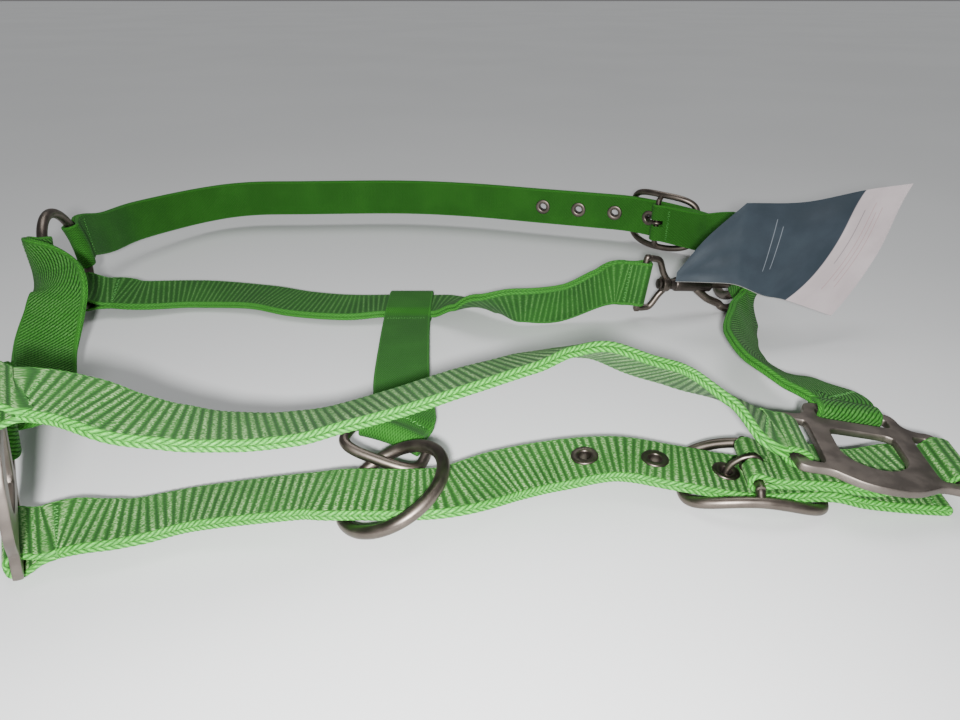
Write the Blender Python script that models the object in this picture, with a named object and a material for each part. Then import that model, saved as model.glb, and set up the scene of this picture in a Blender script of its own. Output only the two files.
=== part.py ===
"""Nylon head halter for a horse, laid out on a flat surface.

Two-ply one-inch webbing straps join two upper rings and two three-slot cheek plates.  The crown
and the chin strap close with oval buckles, the throat strap closes with a swivel bolt snap, and a
lead ring hangs on an oval loop at the end of the connector strap.

Axes: +X to the right across the halter, +Y from the nose towards the crown, +Z up, and the origin
on the resting surface under the middle of the halter.
"""

import math

import bmesh
import bpy
from mathutils import Matrix, Vector

MM = 0.001
GAP = 0.3 * MM

# Webbing
WEB_WIDTH = 25.4 * MM
PLY = 1.9 * MM
WEB_THICKNESS = 2.0 * PLY
ROUTE_STEP = 6.5 * MM
EYE_STEPS = 10

# Rings and loops
RING_WIRE = 5.2 * MM
RING_RADIUS = 26.0 * MM
LEAD_WIRE = 4.8 * MM
LEAD_RADIUS = 20.5 * MM
LOOP_WIRE = 4.2 * MM
LOOP_HALF_LENGTH = 15.7 * MM
LOOP_HALF_WIDTH = 8.9 * MM

# Cheek plates
PLATE_THICKNESS = 3.0 * MM
SLOT_LENGTH = 28.0 * MM
SLOT_WIDTH = 6.5 * MM
SIDE_BAR = 29.0 * MM
CHEEK_BAR = 27.0 * MM

# Buckles
BUCKLE_HALF_LENGTH = 25.0 * MM
BUCKLE_HALF_WIDTH = 18.5 * MM
BUCKLE_WIRE = 4.2 * MM
BUCKLE_BAR = 3.6 * MM
BUCKLE_BOW = 6.2 * MM
BUCKLE_SINK = 3.4 * MM
TONGUE_WIRE = 2.4 * MM

# Eyelets
EYELET_FLANGE = 10.6 * MM
EYELET_BORE = 5.0 * MM
EYELET_WALL = 0.5 * MM
EYELET_LIFT = 0.4 * MM
EYELET_PITCH = 26.5 * MM
STRAP_HOLE = 6.8 * MM

TAG_THICKNESS = 0.8 * MM

# Swivel bolt snap, along its own X from the webbing bar to the hook
SNAP_BAR = 3.6 * MM
SNAP_HALF_HEIGHT = 14.6 * MM
SNAP_NECK = 14.2 * MM
SNAP_BOSS_BORE = 2.1 * MM
SNAP_BOSS_RADIUS = 4.4 * MM
STUD_RADIUS = 1.75 * MM
BARREL_START = 20.0 * MM
BARREL_END = 43.0 * MM
BARREL_RADIUS = 4.0 * MM
BARREL_BORE = 2.4 * MM
BOLT_RADIUS = 1.9 * MM
BOLT_REAR = 32.0 * MM
BOLT_TIP = 55.4 * MM
BOLT_TRAVEL = 7.0 * MM
KNOB_PLACE = 35.5 * MM
HOOK_CENTRE = Vector((54.6, 6.0, 0.0)) * MM
HOOK_RADIUS = 7.2 * MM
HOOK_WIRE = 4.4 * MM

# The halter is laid out around this point, which the origin stands under
LAYOUT_CENTRE = Vector((-5.5, -2.57, 0.1)) * MM

NYLON_GREEN = (0.055, 0.30, 0.045)
GUNMETAL = (0.16, 0.135, 0.115)
STEEL = (0.42, 0.41, 0.40)
CARD_NAVY = (0.035, 0.05, 0.07)


def clear_scene():
    """Remove every object that is in the scene."""
    for item in list(bpy.data.objects):
        bpy.data.objects.remove(item, do_unlink=True)


def make_material(name, colour, roughness, metallic):
    """A plain surface for one sub-part."""
    material = bpy.data.materials.new(name)
    material.use_nodes = True
    shader = material.node_tree.nodes["Principled BSDF"]
    shader.inputs["Base Color"].default_value = (*colour, 1.0)
    shader.inputs["Roughness"].default_value = roughness
    shader.inputs["Metallic"].default_value = metallic
    material.diffuse_color = (*colour, 1.0)
    return material


def spot(x, y, z):
    """A layout point given in millimetres."""
    return Vector((x, y, z)) * MM - LAYOUT_CENTRE


def basis(origin, x_axis, y_axis):
    """A frame from an origin, an X direction and a rough Y direction."""
    x_axis = Vector(x_axis).normalized()
    y_axis = Vector(y_axis)
    y_axis = (y_axis - x_axis * y_axis.dot(x_axis)).normalized()
    z_axis = x_axis.cross(y_axis)
    frame = Matrix((x_axis, y_axis, z_axis)).transposed().to_4x4()
    frame.translation = origin
    return frame


def add_object(name, bm, frame, colour, roughness, metallic, smooth_angle=40.0):
    """Turn a bmesh, built in its own frame, into a placed object with its own material."""
    bmesh.ops.recalc_face_normals(bm, faces=bm.faces)
    mesh = bpy.data.meshes.new(name)
    bm.to_mesh(mesh)
    bm.free()
    mesh.shade_smooth()
    mesh.set_sharp_from_angle(angle=math.radians(smooth_angle))
    item = bpy.data.objects.new(name, mesh)
    item.matrix_world = frame
    bpy.context.scene.collection.objects.link(item)
    mesh.materials.append(make_material(name, colour, roughness, metallic))
    return item


def section_circle(radius, sides):
    """The corners of a round wire's section."""
    step = 2.0 * math.pi / sides
    return [(radius * math.cos(step * k), radius * math.sin(step * k)) for k in range(sides)]


def sweep(bm, centres, section, up, closed):
    """Sweep a section along centres, its second axis kept close to up."""
    loops = []
    count = len(centres)
    for k, centre in enumerate(centres):
        if closed:
            ahead = centres[(k + 1) % count]
            behind = centres[k - 1]
        else:
            ahead = centres[min(k + 1, count - 1)]
            behind = centres[max(k - 1, 0)]
        tangent = (ahead - behind).normalized()
        side = up.cross(tangent).normalized()
        normal = tangent.cross(side)
        loops.append([bm.verts.new(centre + side * u + normal * v) for u, v in section])
    sides = len(section)
    for k in range(count if closed else count - 1):
        here = loops[k]
        there = loops[(k + 1) % count]
        for j in range(sides):
            i = (j + 1) % sides
            bm.faces.new((here[j], here[i], there[i], there[j]))
    if not closed:
        bm.faces.new(loops[0])
        bm.faces.new(loops[-1])


def round_ring(name, frame, radius, wire, steps, sides=10):
    """A welded ring of round wire."""
    bm = bmesh.new()
    angles = [2.0 * math.pi * k / steps for k in range(steps)]
    centres = [Vector((radius * math.cos(a), radius * math.sin(a), 0.0)) for a in angles]
    sweep(bm, centres, section_circle(wire / 2.0, sides), Vector((0.0, 0.0, 1.0)), True)
    return add_object(name, bm, frame, GUNMETAL, 0.35, 1.0)


def superellipse(half_x, half_y, power, steps):
    """Points round a rounded rectangle."""
    points = []
    for k in range(steps):
        angle = 2.0 * math.pi * k / steps
        across = math.cos(angle)
        along = math.sin(angle)
        points.append(
            (
                half_x * math.copysign(abs(across) ** power, across),
                half_y * math.copysign(abs(along) ** power, along),
            )
        )
    return points


# --------------------------------------------------------------------------------------------
# Webbing


class Route:
    """The middle line of a strap, with the direction of its width at every point."""

    def __init__(self, stations, steps=12):
        """stations: (point, width direction or lean in degrees)."""
        points = [point for point, _ in stations]
        count = len(points)
        widths = []
        for k, (point, width) in enumerate(stations):
            if isinstance(width, (int, float)):
                travel = points[min(k + 1, count - 1)] - points[max(k - 1, 0)]
                side = Vector((-travel.y, travel.x, 0.0)).normalized()
                lean = math.radians(width)
                width = side * math.cos(lean) + Vector((0.0, 0.0, math.sin(lean)))
            widths.append(width.normalized())
        self.points = []
        self.widths = []
        for k in range(count - 1):
            before = points[k - 1] if k else points[0] * 2.0 - points[1]
            after = points[k + 2] if k + 2 < count else points[-1] * 2.0 - points[-2]
            for j in range(steps + (k == count - 2)):
                share = j / steps
                self.points.append(hermite(before, points[k], points[k + 1], after, share))
                self.widths.append(widths[k].lerp(widths[k + 1], ease(share)))
        self.stops = [0.0]
        for here, there in zip(self.points, self.points[1:]):
            self.stops.append(self.stops[-1] + (there - here).length)
        self.length = self.stops[-1]

    def frame(self, place):
        """Middle, width direction and face direction at a distance along the strap."""
        inside = min(max(place, 0.0), self.length)
        k = 0
        while k < len(self.stops) - 2 and self.stops[k + 1] < inside:
            k += 1
        share = (inside - self.stops[k]) / (self.stops[k + 1] - self.stops[k])
        middle = self.points[k].lerp(self.points[k + 1], share)
        width = self.widths[k].lerp(self.widths[k + 1], share)
        tangent = self.tangent(k).lerp(self.tangent(k + 1), share).normalized()
        middle = middle + tangent * (place - inside)
        width = (width - tangent * width.dot(tangent)).normalized()
        return middle, width, tangent.cross(width)

    def tangent(self, k):
        """Direction of travel at one of the fine points."""
        ahead = self.points[min(k + 1, len(self.points) - 1)]
        behind = self.points[max(k - 1, 0)]
        return (ahead - behind).normalized()

    def at(self, place, across=0.0, off=0.0):
        """A point on the strap: along, across its width and off its face."""
        middle, width, face = self.frame(place)
        return middle + width * across + face * off


def hermite(before, start, end, after, share):
    """Smooth curve through start and end."""
    leave = (end - before) * 0.5
    arrive = (after - start) * 0.5
    s2 = share * share
    s3 = s2 * share
    return (
        start * (2.0 * s3 - 3.0 * s2 + 1.0)
        + leave * (s3 - 2.0 * s2 + share)
        + end * (3.0 * s2 - 2.0 * s3)
        + arrive * (s3 - s2)
    )


def ease(share):
    """Slow start and slow end."""
    return share * share * (3.0 - 2.0 * share)


class Eye:
    """The fold of a strap round a bar: the hole's half sizes, and how far the two plies part."""

    def __init__(self, half_along, half_off, reach, rise=0.0, power=1.0):
        self.half_along = half_along * MM + GAP
        self.half_off = half_off * MM + GAP
        self.reach = reach * MM
        self.rise = rise * MM
        self.power = power

    def outlines(self, centre, away):
        """Inner and outer outline, in (along, off) pairs, from one face round to the other."""
        inner = []
        outer = []
        opening = math.radians(50.0)
        for k in range(EYE_STEPS + 1):
            angle = opening + (2.0 * math.pi - 2.0 * opening) * k / EYE_STEPS
            along = math.copysign(abs(math.cos(angle)) ** self.power, math.cos(angle)) * away
            off = math.copysign(abs(math.sin(angle)) ** self.power, math.sin(angle))
            wide = self.half_along + PLY
            tall = self.half_off + PLY
            inner.append((centre + self.half_along * along, self.rise + self.half_off * off))
            outer.append((centre + wide * along, self.rise + tall * off))
        return inner, outer


def strap_mesh(route, head, tail):
    """A two-ply strap: a flat body whose plies part to make an eye at either end."""
    bm = bmesh.new()
    half = WEB_WIDTH / 2.0
    thick = WEB_THICKNESS / 2.0
    start = head.reach if head else 0.0
    end = route.length - (tail.reach if tail else 0.0)
    columns = max(2, round((end - start) / ROUTE_STEP))

    def edge(place, off):
        return [bm.verts.new(route.at(place, across, off)) for across in (-half, half)]

    upper = []
    lower = []
    for k in range(columns + 1):
        place = start + (end - start) * k / columns
        upper.append(edge(place, thick))
        lower.append(edge(place, -thick))

    def wall(first, second):
        bm.faces.new((first[0], first[1], second[1], second[0]))

    for k in range(columns):
        wall(upper[k], upper[k + 1])
        wall(lower[k + 1], lower[k])

    tips = {}
    for eye, column, centre, away in ((head, 0, 0.0, 1.0), (tail, columns, route.length, -1.0)):
        if eye is None:
            wall(upper[column], lower[column])
            continue
        inner, outer = eye.outlines(centre, away)
        place = start if column == 0 else end
        tip = edge(place, 0.0)
        tips[column] = tip
        inner_edges = [tip] + [edge(*pair) for pair in inner] + [tip]
        outer_edges = [upper[column]] + [edge(*pair) for pair in outer] + [lower[column]]
        for j in range(len(inner_edges) - 1):
            wall(outer_edges[j], outer_edges[j + 1])
            wall(inner_edges[j + 1], inner_edges[j])
            for side in (0, 1):
                corners = [
                    inner_edges[j][side],
                    inner_edges[j + 1][side],
                    outer_edges[j + 1][side],
                    outer_edges[j][side],
                ]
                bm.faces.new(corners)
    for k in range(columns):
        for side in (0, 1):
            corners = [upper[k][side], upper[k + 1][side]]
            if k + 1 in tips:
                corners.append(tips[k + 1][side])
            corners += [lower[k + 1][side], lower[k][side]]
            if k in tips:
                corners.append(tips[k][side])
            bm.faces.new(corners)
    return bm


def add_strap(name, route, head, tail, hole_places=()):
    """One sewn strap, with a punched hole at each of the places given."""
    bm = strap_mesh(route, head, tail)
    bmesh.ops.triangulate(bm, faces=bm.faces)
    strap = add_object(name, bm, Matrix.Identity(4), NYLON_GREEN, 0.75, 0.0)
    if hole_places:
        punch = bmesh.new()
        for place in hole_places:
            middle, width, face = route.frame(place)
            tool = basis(middle, width, face.cross(width))
            bmesh.ops.create_cone(
                punch,
                cap_ends=True,
                segments=12,
                radius1=STRAP_HOLE / 2.0,
                radius2=STRAP_HOLE / 2.0,
                depth=WEB_THICKNESS * 3.0,
                matrix=tool,
            )
        cutter = add_object(name + "_punch", punch, Matrix.Identity(4), STEEL, 0.5, 0.0)
        cutter.hide_render = True
        cutter.display_type = "WIRE"
        cut = strap.modifiers.new("holes", "BOOLEAN")
        cut.operation = "DIFFERENCE"
        cut.solver = "EXACT"
        cut.object = cutter
    return strap


def add_eyelet(name, route, place):
    """A rolled metal eyelet: a flange on each face and a short tube between them."""
    middle, width, face = route.frame(place)
    bore = EYELET_BORE / 2.0
    tube = bore + EYELET_WALL
    flange = EYELET_FLANGE / 2.0
    seat = WEB_THICKNESS / 2.0 + EYELET_LIFT
    lip = seat + 0.7 * MM
    profile = (
        (bore, -lip + 0.3 * MM),
        (bore + 0.6 * MM, -lip),
        (flange - 0.8 * MM, -lip),
        (flange, -seat),
        (tube, -seat),
        (tube, seat),
        (flange, seat),
        (flange - 0.8 * MM, lip),
        (bore + 0.6 * MM, lip),
        (bore, lip - 0.3 * MM),
    )
    bm = bmesh.new()
    steps = 14
    loops = []
    for k in range(steps):
        angle = 2.0 * math.pi * k / steps
        loops.append(
            [
                bm.verts.new((radius * math.cos(angle), radius * math.sin(angle), height))
                for radius, height in profile
            ]
        )
    for k in range(steps):
        here = loops[k]
        there = loops[(k + 1) % steps]
        for j in range(len(profile)):
            i = (j + 1) % len(profile)
            bm.faces.new((here[j], here[i], there[i], there[j]))
    frame = basis(middle, width, face.cross(width))
    return add_object(name, bm, frame, GUNMETAL, 0.35, 1.0)


# --------------------------------------------------------------------------------------------
# Seats: where a strap's fold sits on its bar


def ring_seat(ring, angle, drop):
    """Point on a ring's wire, moved in by drop, with its outward and wire directions."""
    turn = math.radians(angle)
    outward = ring.to_3x3() @ Vector((math.cos(turn), math.sin(turn), 0.0))
    along = ring.to_3x3() @ Vector((-math.sin(turn), math.cos(turn), 0.0))
    return ring.translation + outward * (RING_RADIUS - drop), outward, along


def plate_seat(plate, side):
    """Middle of one of a cheek plate's three outer bars, its outward and its bar direction."""
    places = {
        "nose": ((-SIDE_BAR, 0.0), (-1.0, 0.0), (0.0, 1.0)),
        "chin": ((SIDE_BAR, 0.0), (1.0, 0.0), (0.0, 1.0)),
        "cheek": ((0.0, CHEEK_BAR), (0.0, 1.0), (1.0, 0.0)),
    }
    at, outward, along = places[side]
    turn = plate.to_3x3()
    return (
        plate @ Vector((*at, 0.0)),
        turn @ Vector((*outward, 0.0)),
        turn @ Vector((*along, 0.0)),
    )


def lead(seat, heading, width, distance=16.0 * MM):
    """The stations that carry a strap straight out of its fold."""
    return [(seat + heading * distance * share, width) for share in (0.0, 0.55, 1.0)]


# --------------------------------------------------------------------------------------------
# Metal pieces


def plate_outline():
    """Outline of the cast cheek plate: three slotted arms and a round lower edge."""
    arm = SLOT_LENGTH / 2.0 + 4.5 * MM
    side = SIDE_BAR + 2.5 * MM
    top = CHEEK_BAR + 2.5 * MM
    half = [
        (0.0, top),
        (arm - 3.0 * MM, top),
        (arm, top - 3.0 * MM),
        (arm + 0.5 * MM, top - 9.0 * MM),
        (arm + 5.0 * MM, arm - 0.5 * MM),
        (side - 3.0 * MM, arm),
        (side, arm - 3.0 * MM),
        (side, -arm + 3.0 * MM),
        (side - 3.0 * MM, -arm),
        (side - 12.0 * MM, -arm + 1.0 * MM),
        (side - 16.0 * MM, -arm - 1.5 * MM),
        (9.0 * MM, -arm - 5.0 * MM),
        (0.0, -arm - 6.0 * MM),
    ]
    mirrored = [(-x, y) for x, y in reversed(half[1:-1])]
    return half + mirrored


def slot_outline(centre_x, centre_y, half_x, half_y):
    """A slot with short rounded corners."""
    points = superellipse(half_x, half_y, 0.25, 12)
    return [(centre_x + x, centre_y + y) for x, y in points]


def window_outline():
    """The middle window: straight at the top and sides, round at the bottom."""
    half = 12.3 * MM
    top = 11.5 * MM
    spring = -2.0 * MM
    points = [(half, top), (-half, top)]
    for k in range(9):
        angle = math.pi + math.pi * k / 8.0
        points.append((half * math.cos(angle), spring + 11.0 * MM * math.sin(angle)))
    return points


def cheek_plate(name, frame):
    """A cast three-slot cheek plate."""
    slot_x = SIDE_BAR - 2.5 * MM - SLOT_WIDTH / 2.0
    slot_y = CHEEK_BAR - 2.5 * MM - SLOT_WIDTH / 2.0
    outlines = [
        plate_outline(),
        window_outline(),
        slot_outline(-slot_x, 0.0, SLOT_WIDTH / 2.0, SLOT_LENGTH / 2.0),
        slot_outline(slot_x, 0.0, SLOT_WIDTH / 2.0, SLOT_LENGTH / 2.0),
        slot_outline(0.0, slot_y, SLOT_LENGTH / 2.0, SLOT_WIDTH / 2.0),
    ]
    bm = bmesh.new()
    for outline in outlines:
        corners = [bm.verts.new((x, y, -PLATE_THICKNESS / 2.0)) for x, y in outline]
        for here, there in zip(corners, corners[1:] + corners[:1]):
            bm.edges.new((here, there))
    filled = bmesh.ops.triangle_fill(bm, use_beauty=True, use_dissolve=False, edges=bm.edges)
    faces = [item for item in filled["geom"] if isinstance(item, bmesh.types.BMFace)]
    raised = bmesh.ops.extrude_face_region(bm, geom=faces)
    lifted = [item for item in raised["geom"] if isinstance(item, bmesh.types.BMVert)]
    bmesh.ops.translate(bm, verts=lifted, vec=(0.0, 0.0, PLATE_THICKNESS))
    plate = add_object(name, bm, frame, GUNMETAL, 0.38, 1.0)
    edge = plate.modifiers.new("edge", "BEVEL")
    edge.width = 0.5 * MM
    edge.segments = 1
    edge.limit_method = "ANGLE"
    edge.angle_limit = math.radians(60.0)
    return plate


def buckle_rim(angle):
    """Middle of a buckle's rim: an oval below its bar, its two ends bowed further down."""
    across = math.cos(angle)
    along = math.sin(angle)
    return Vector(
        (
            BUCKLE_HALF_LENGTH * math.copysign(abs(across) ** 0.8, across),
            BUCKLE_HALF_WIDTH * math.copysign(abs(along) ** 0.4, along),
            -BUCKLE_SINK - BUCKLE_BOW * abs(across) ** 1.5,
        )
    )


def buckle_frame(name, frame):
    """An oval buckle frame; its centre bar lies along Y and its rim bows down to -Z."""
    steps = 28
    bm = bmesh.new()
    centres = [buckle_rim(2.0 * math.pi * k / steps) for k in range(steps)]
    sweep(bm, centres, section_circle(BUCKLE_WIRE / 2.0, 8), Vector((0.0, 0.0, 1.0)), True)
    rim = add_object(name, bm, frame, GUNMETAL, 0.35, 1.0)
    reach = BUCKLE_HALF_WIDTH
    half_bar = [(0.0, 0.0), (13.2 * MM, 0.0), (15.0 * MM, -0.6 * MM), (16.6 * MM, -2.0 * MM)]
    half_bar.append((reach, -BUCKLE_SINK - 0.3 * MM))
    ends = [Vector((0.0, -y, z)) for y, z in reversed(half_bar[1:])]
    ends += [Vector((0.0, y, z)) for y, z in half_bar[1:]]
    bar_bm = bmesh.new()
    sweep(bar_bm, ends, section_circle(BUCKLE_BAR / 2.0, 10), Vector((1.0, 0.0, 0.0)), False)
    bar = add_object(name + "_bar_stock", bar_bm, frame, STEEL, 0.4, 1.0)
    bar.hide_render = True
    bar.display_type = "WIRE"
    join = rim.modifiers.new("bar", "BOOLEAN")
    join.operation = "UNION"
    join.solver = "EXACT"
    join.object = bar
    return rim


def buckle_tongue(name, frame, prong):
    """A bent wire tongue: a curl round the bar, then a prong through (X, Z) points."""
    curl = BUCKLE_BAR / 2.0 + GAP + TONGUE_WIRE / 2.0
    centres = []
    for k in range(9):
        angle = math.radians(-150.0 + 240.0 * k / 8.0)
        centres.append(Vector((curl * math.cos(angle), 0.0, curl * math.sin(angle))))
    for x, z in prong:
        centres.append(Vector((x, 0.0, z)) * MM)
    bm = bmesh.new()
    sweep(bm, centres, section_circle(TONGUE_WIRE / 2.0, 8), Vector((0.0, 1.0, 0.0)), False)
    return add_object(name, bm, frame, GUNMETAL, 0.35, 1.0)


def turned_body(profile, steps):
    """A closed profile of (along X, radius) pairs turned about X."""
    bm = bmesh.new()
    loops = []
    for k in range(steps):
        angle = 2.0 * math.pi * k / steps
        loops.append(
            [bm.verts.new((x, r * math.cos(angle), r * math.sin(angle))) for x, r in profile]
        )
    for k in range(steps):
        here = loops[k]
        there = loops[(k + 1) % steps]
        for j in range(len(profile)):
            i = (j + 1) % len(profile)
            bm.faces.new((here[j], here[i], there[i], there[j]))
    return bm


def solid_pin(profile, steps):
    """An open profile of (along X, radius) pairs turned about X and closed by flat ends."""
    bm = bmesh.new()
    loops = []
    for x, r in profile:
        ring = []
        for k in range(steps):
            angle = 2.0 * math.pi * k / steps
            ring.append(bm.verts.new((x, r * math.cos(angle), r * math.sin(angle))))
        loops.append(ring)
    for here, there in zip(loops, loops[1:]):
        for k in range(steps):
            i = (k + 1) % steps
            bm.faces.new((here[k], here[i], there[i], there[k]))
    bm.faces.new(loops[0])
    bm.faces.new(loops[-1])
    return bm


def boolean(target, name, tool_bm, frame, operation):
    """Add a hidden tool body and join it to, or cut it from, the target."""
    tool = add_object(name, tool_bm, frame, STEEL, 0.5, 0.0)
    tool.hide_render = True
    tool.display_type = "WIRE"
    step = target.modifiers.new(name, "BOOLEAN")
    step.operation = operation
    step.solver = "EXACT"
    step.object = tool


def box_bm(low, high):
    """A box between two corners."""
    bm = bmesh.new()
    middle = (Vector(low) + Vector(high)) / 2.0
    size = Vector(high) - Vector(low)
    place = Matrix.Translation(middle) @ Matrix.Diagonal((*size, 1.0))
    bmesh.ops.create_cube(bm, size=1.0, matrix=place)
    return bm


def snap_eye(frame):
    """Square webbing eye: a straight bar, two arms and a boss that the stud turns in."""
    high = SNAP_HALF_HEIGHT
    neck = SNAP_NECK
    boss = turned_body(
        [
            (neck - 2.2 * MM, SNAP_BOSS_BORE),
            (neck + 2.2 * MM, SNAP_BOSS_BORE),
            (neck + 2.2 * MM, SNAP_BOSS_RADIUS - 0.8 * MM),
            (neck + 1.4 * MM, SNAP_BOSS_RADIUS),
            (neck - 1.4 * MM, SNAP_BOSS_RADIUS),
            (neck - 2.2 * MM, SNAP_BOSS_RADIUS - 0.8 * MM),
        ],
        14,
    )
    eye = add_object("snap_eye", boss, frame, GUNMETAL, 0.35, 1.0)
    arch = [
        Vector((neck, 3.6 * MM, 0.0)),
        Vector((neck - 2.5 * MM, 7.0 * MM, 0.0)),
        Vector((neck - 6.0 * MM, high - 1.2 * MM, 0.0)),
        Vector((neck - 9.5 * MM, high, 0.0)),
        Vector((1.6 * MM, high, 0.0)),
        Vector((0.0, high - 1.6 * MM, 0.0)),
    ]
    mirrored = [Vector((p.x, -p.y, 0.0)) for p in reversed(arch)]
    bow = bmesh.new()
    section = section_circle(SNAP_BAR / 2.0, 8)
    sweep(bow, arch + mirrored, section, Vector((0.0, 0.0, 1.0)), False)
    boolean(eye, "snap_eye_bow", bow, frame, "UNION")
    return eye


def snap_hook(frame):
    """Bored barrel with its swivel stud and the fixed hook that the bolt closes."""
    start = BARREL_START
    end = BARREL_END
    neck = SNAP_NECK
    profile = [
        (neck - 4.6 * MM, 1.2 * MM),
        (neck - 4.0 * MM, 2.8 * MM),
        (neck - 2.9 * MM, 3.0 * MM),
        (neck - 2.5 * MM, STUD_RADIUS),
        (neck + 2.6 * MM, STUD_RADIUS),
        (neck + 3.0 * MM, 3.0 * MM),
        (start, 3.2 * MM),
        (start + 1.0 * MM, BARREL_RADIUS),
        (end - 1.0 * MM, BARREL_RADIUS),
        (end, BARREL_RADIUS - 0.8 * MM),
    ]
    hook = add_object("snap_hook", solid_pin(profile, 14), frame, GUNMETAL, 0.35, 1.0)
    centres = [
        Vector((33.0, 2.6, 0.0)) * MM,
        Vector((37.5, 5.6, 0.0)) * MM,
        Vector((42.5, 8.4, 0.0)) * MM,
    ]
    for k in range(9):
        angle = math.radians(140.0 - 202.0 * k / 8.0)
        reach = Vector((math.cos(angle), math.sin(angle), 0.0)) * HOOK_RADIUS
        centres.append(HOOK_CENTRE + reach)
    curl = bmesh.new()
    section = section_circle(HOOK_WIRE / 2.0, 8)
    sweep(curl, centres, section, Vector((0.0, 0.0, 1.0)), False)
    boolean(hook, "snap_hook_curl", curl, frame, "UNION")
    bore = solid_pin([(23.0 * MM, BARREL_BORE), (end + 2.0 * MM, BARREL_BORE)], 14)
    boolean(hook, "snap_hook_bore", bore, frame, "DIFFERENCE")
    slot_rear = KNOB_PLACE - BOLT_TRAVEL - 1.5 * MM
    slot = box_bm((slot_rear, -9.0 * MM, -1.4 * MM), (KNOB_PLACE + 1.5 * MM, 0.0, 1.4 * MM))
    boolean(hook, "snap_hook_slot", slot, frame, "DIFFERENCE")
    return hook


def snap_bolt(frame):
    """Sliding bolt with its thumb knob."""
    tip = BOLT_TIP
    profile = [
        (BOLT_REAR, BOLT_RADIUS),
        (tip - 1.0 * MM, BOLT_RADIUS),
        (tip, BOLT_RADIUS - 0.8 * MM),
    ]
    bolt = add_object("snap_bolt", solid_pin(profile, 12), frame, GUNMETAL, 0.35, 1.0)
    knob_profile = [
        (0.5 * MM, 1.0 * MM),
        (4.8 * MM, 1.0 * MM),
        (5.2 * MM, 2.3 * MM),
        (6.6 * MM, 2.5 * MM),
        (7.4 * MM, 1.4 * MM),
    ]
    knob_frame = frame @ Matrix.Translation((KNOB_PLACE, 0.0, 0.0))
    knob_frame = knob_frame @ Matrix.Rotation(math.radians(-90.0), 4, "Z")
    boolean(bolt, "snap_bolt_knob", solid_pin(knob_profile, 10), knob_frame, "UNION")
    return bolt


def hang_tag(top, bottom, thickness):
    """A folded card tag, lofted between its top and bottom edges."""
    bm = bmesh.new()
    rows = 5
    columns = len(top)
    grids = []
    normals = []
    for k in range(columns):
        ahead = min(k + 1, columns - 1)
        behind = max(k - 1, 0)
        run = (top[ahead] + bottom[ahead] - top[behind] - bottom[behind]).normalized()
        rise = (top[k] - bottom[k]).normalized()
        normals.append(run.cross(rise).normalized())
    for side in (-0.5, 0.5):
        grid = []
        for k in range(columns):
            shift = normals[k] * thickness * side
            grid.append(
                [bm.verts.new(bottom[k].lerp(top[k], j / (rows - 1)) + shift) for j in range(rows)]
            )
        grids.append(grid)
    back, front = grids
    for k in range(columns - 1):
        for j in range(rows - 1):
            for grid in grids:
                bm.faces.new((grid[k][j], grid[k + 1][j], grid[k + 1][j + 1], grid[k][j + 1]))
        for j in (0, rows - 1):
            bm.faces.new((back[k][j], back[k + 1][j], front[k + 1][j], front[k][j]))
    for k in (0, columns - 1):
        for j in range(rows - 1):
            bm.faces.new((back[k][j], back[k][j + 1], front[k][j + 1], front[k][j]))
    return add_object("hang_tag", bm, Matrix.Identity(4), CARD_NAVY, 0.5, 0.0)


# --------------------------------------------------------------------------------------------
# Layout


def metal_layout():
    """Where each rigid metal piece lies."""
    frames = {
        "left_ring": basis(spot(-228, 18, 33.5), (-0.2, 0.98, 0.0), (-0.14, -0.05, 0.989)),
        "right_ring": basis(spot(152, 36, 31), (0.05, 0.999, 0.0), (0.40, -0.02, 0.915)),
        "left_plate": basis(spot(-148, -178.5, 35.9), (-0.17, 0.02, -0.985), (-0.5, 0.866, 0.0)),
        "right_plate": basis(spot(144.7, -139.5, 15.9), (0.987, -0.12, -0.11), (0.12, 0.99, 0.0)),
        "chin_buckle": basis(spot(101, -141, 11.9), (0.995, -0.10, 0.0), (0.10, 0.995, 0.0)),
        "crown_buckle": basis(spot(123, 129, 21), (0.735, -0.678, 0.0), (0.0, 0.0, 1.0)),
        "snap": basis(spot(90, 15, 21), (52.7, 12.9, -6.2), (0.21, 0.04, 0.977)),
        "snap_hook": basis(spot(90, 15, 21), (52.7, 12.9, -6.2), (-0.12, -0.397, -0.898)),
        "lead_ring": basis(spot(-31.4, -154.1, 11.3), (0.88, -0.265, 0.395), (0.214, 0.962, 0.169)),
        "loop": basis(spot(-36.4, -130.5, 12.3), (0.941, -0.229, -0.249), (0.236, 0.972, 0.0)),
    }
    return frames


def build_rings(frames):
    """Two upper rings, the connector loop and the lead ring."""
    round_ring("left_upper_ring", frames["left_ring"], RING_RADIUS, RING_WIRE, 36)
    round_ring("right_upper_ring", frames["right_ring"], RING_RADIUS, RING_WIRE, 36)
    round_ring("lead_ring", frames["lead_ring"], LEAD_RADIUS, LEAD_WIRE, 32)
    bm = bmesh.new()
    outline = superellipse(LOOP_HALF_LENGTH, LOOP_HALF_WIDTH, 0.6, 32)
    centres = [Vector((x, y, 0.0)) for x, y in outline]
    sweep(bm, centres, section_circle(LOOP_WIRE / 2.0, 8), Vector((0.0, 0.0, 1.0)), True)
    add_object("connector_loop", bm, frames["loop"], GUNMETAL, 0.35, 1.0)


def stations(rows):
    """Route stations from (x, y, z, lean) rows, in layout millimetres and degrees."""
    return [(spot(x, y, z), lean) for x, y, z, lean in rows]


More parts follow.
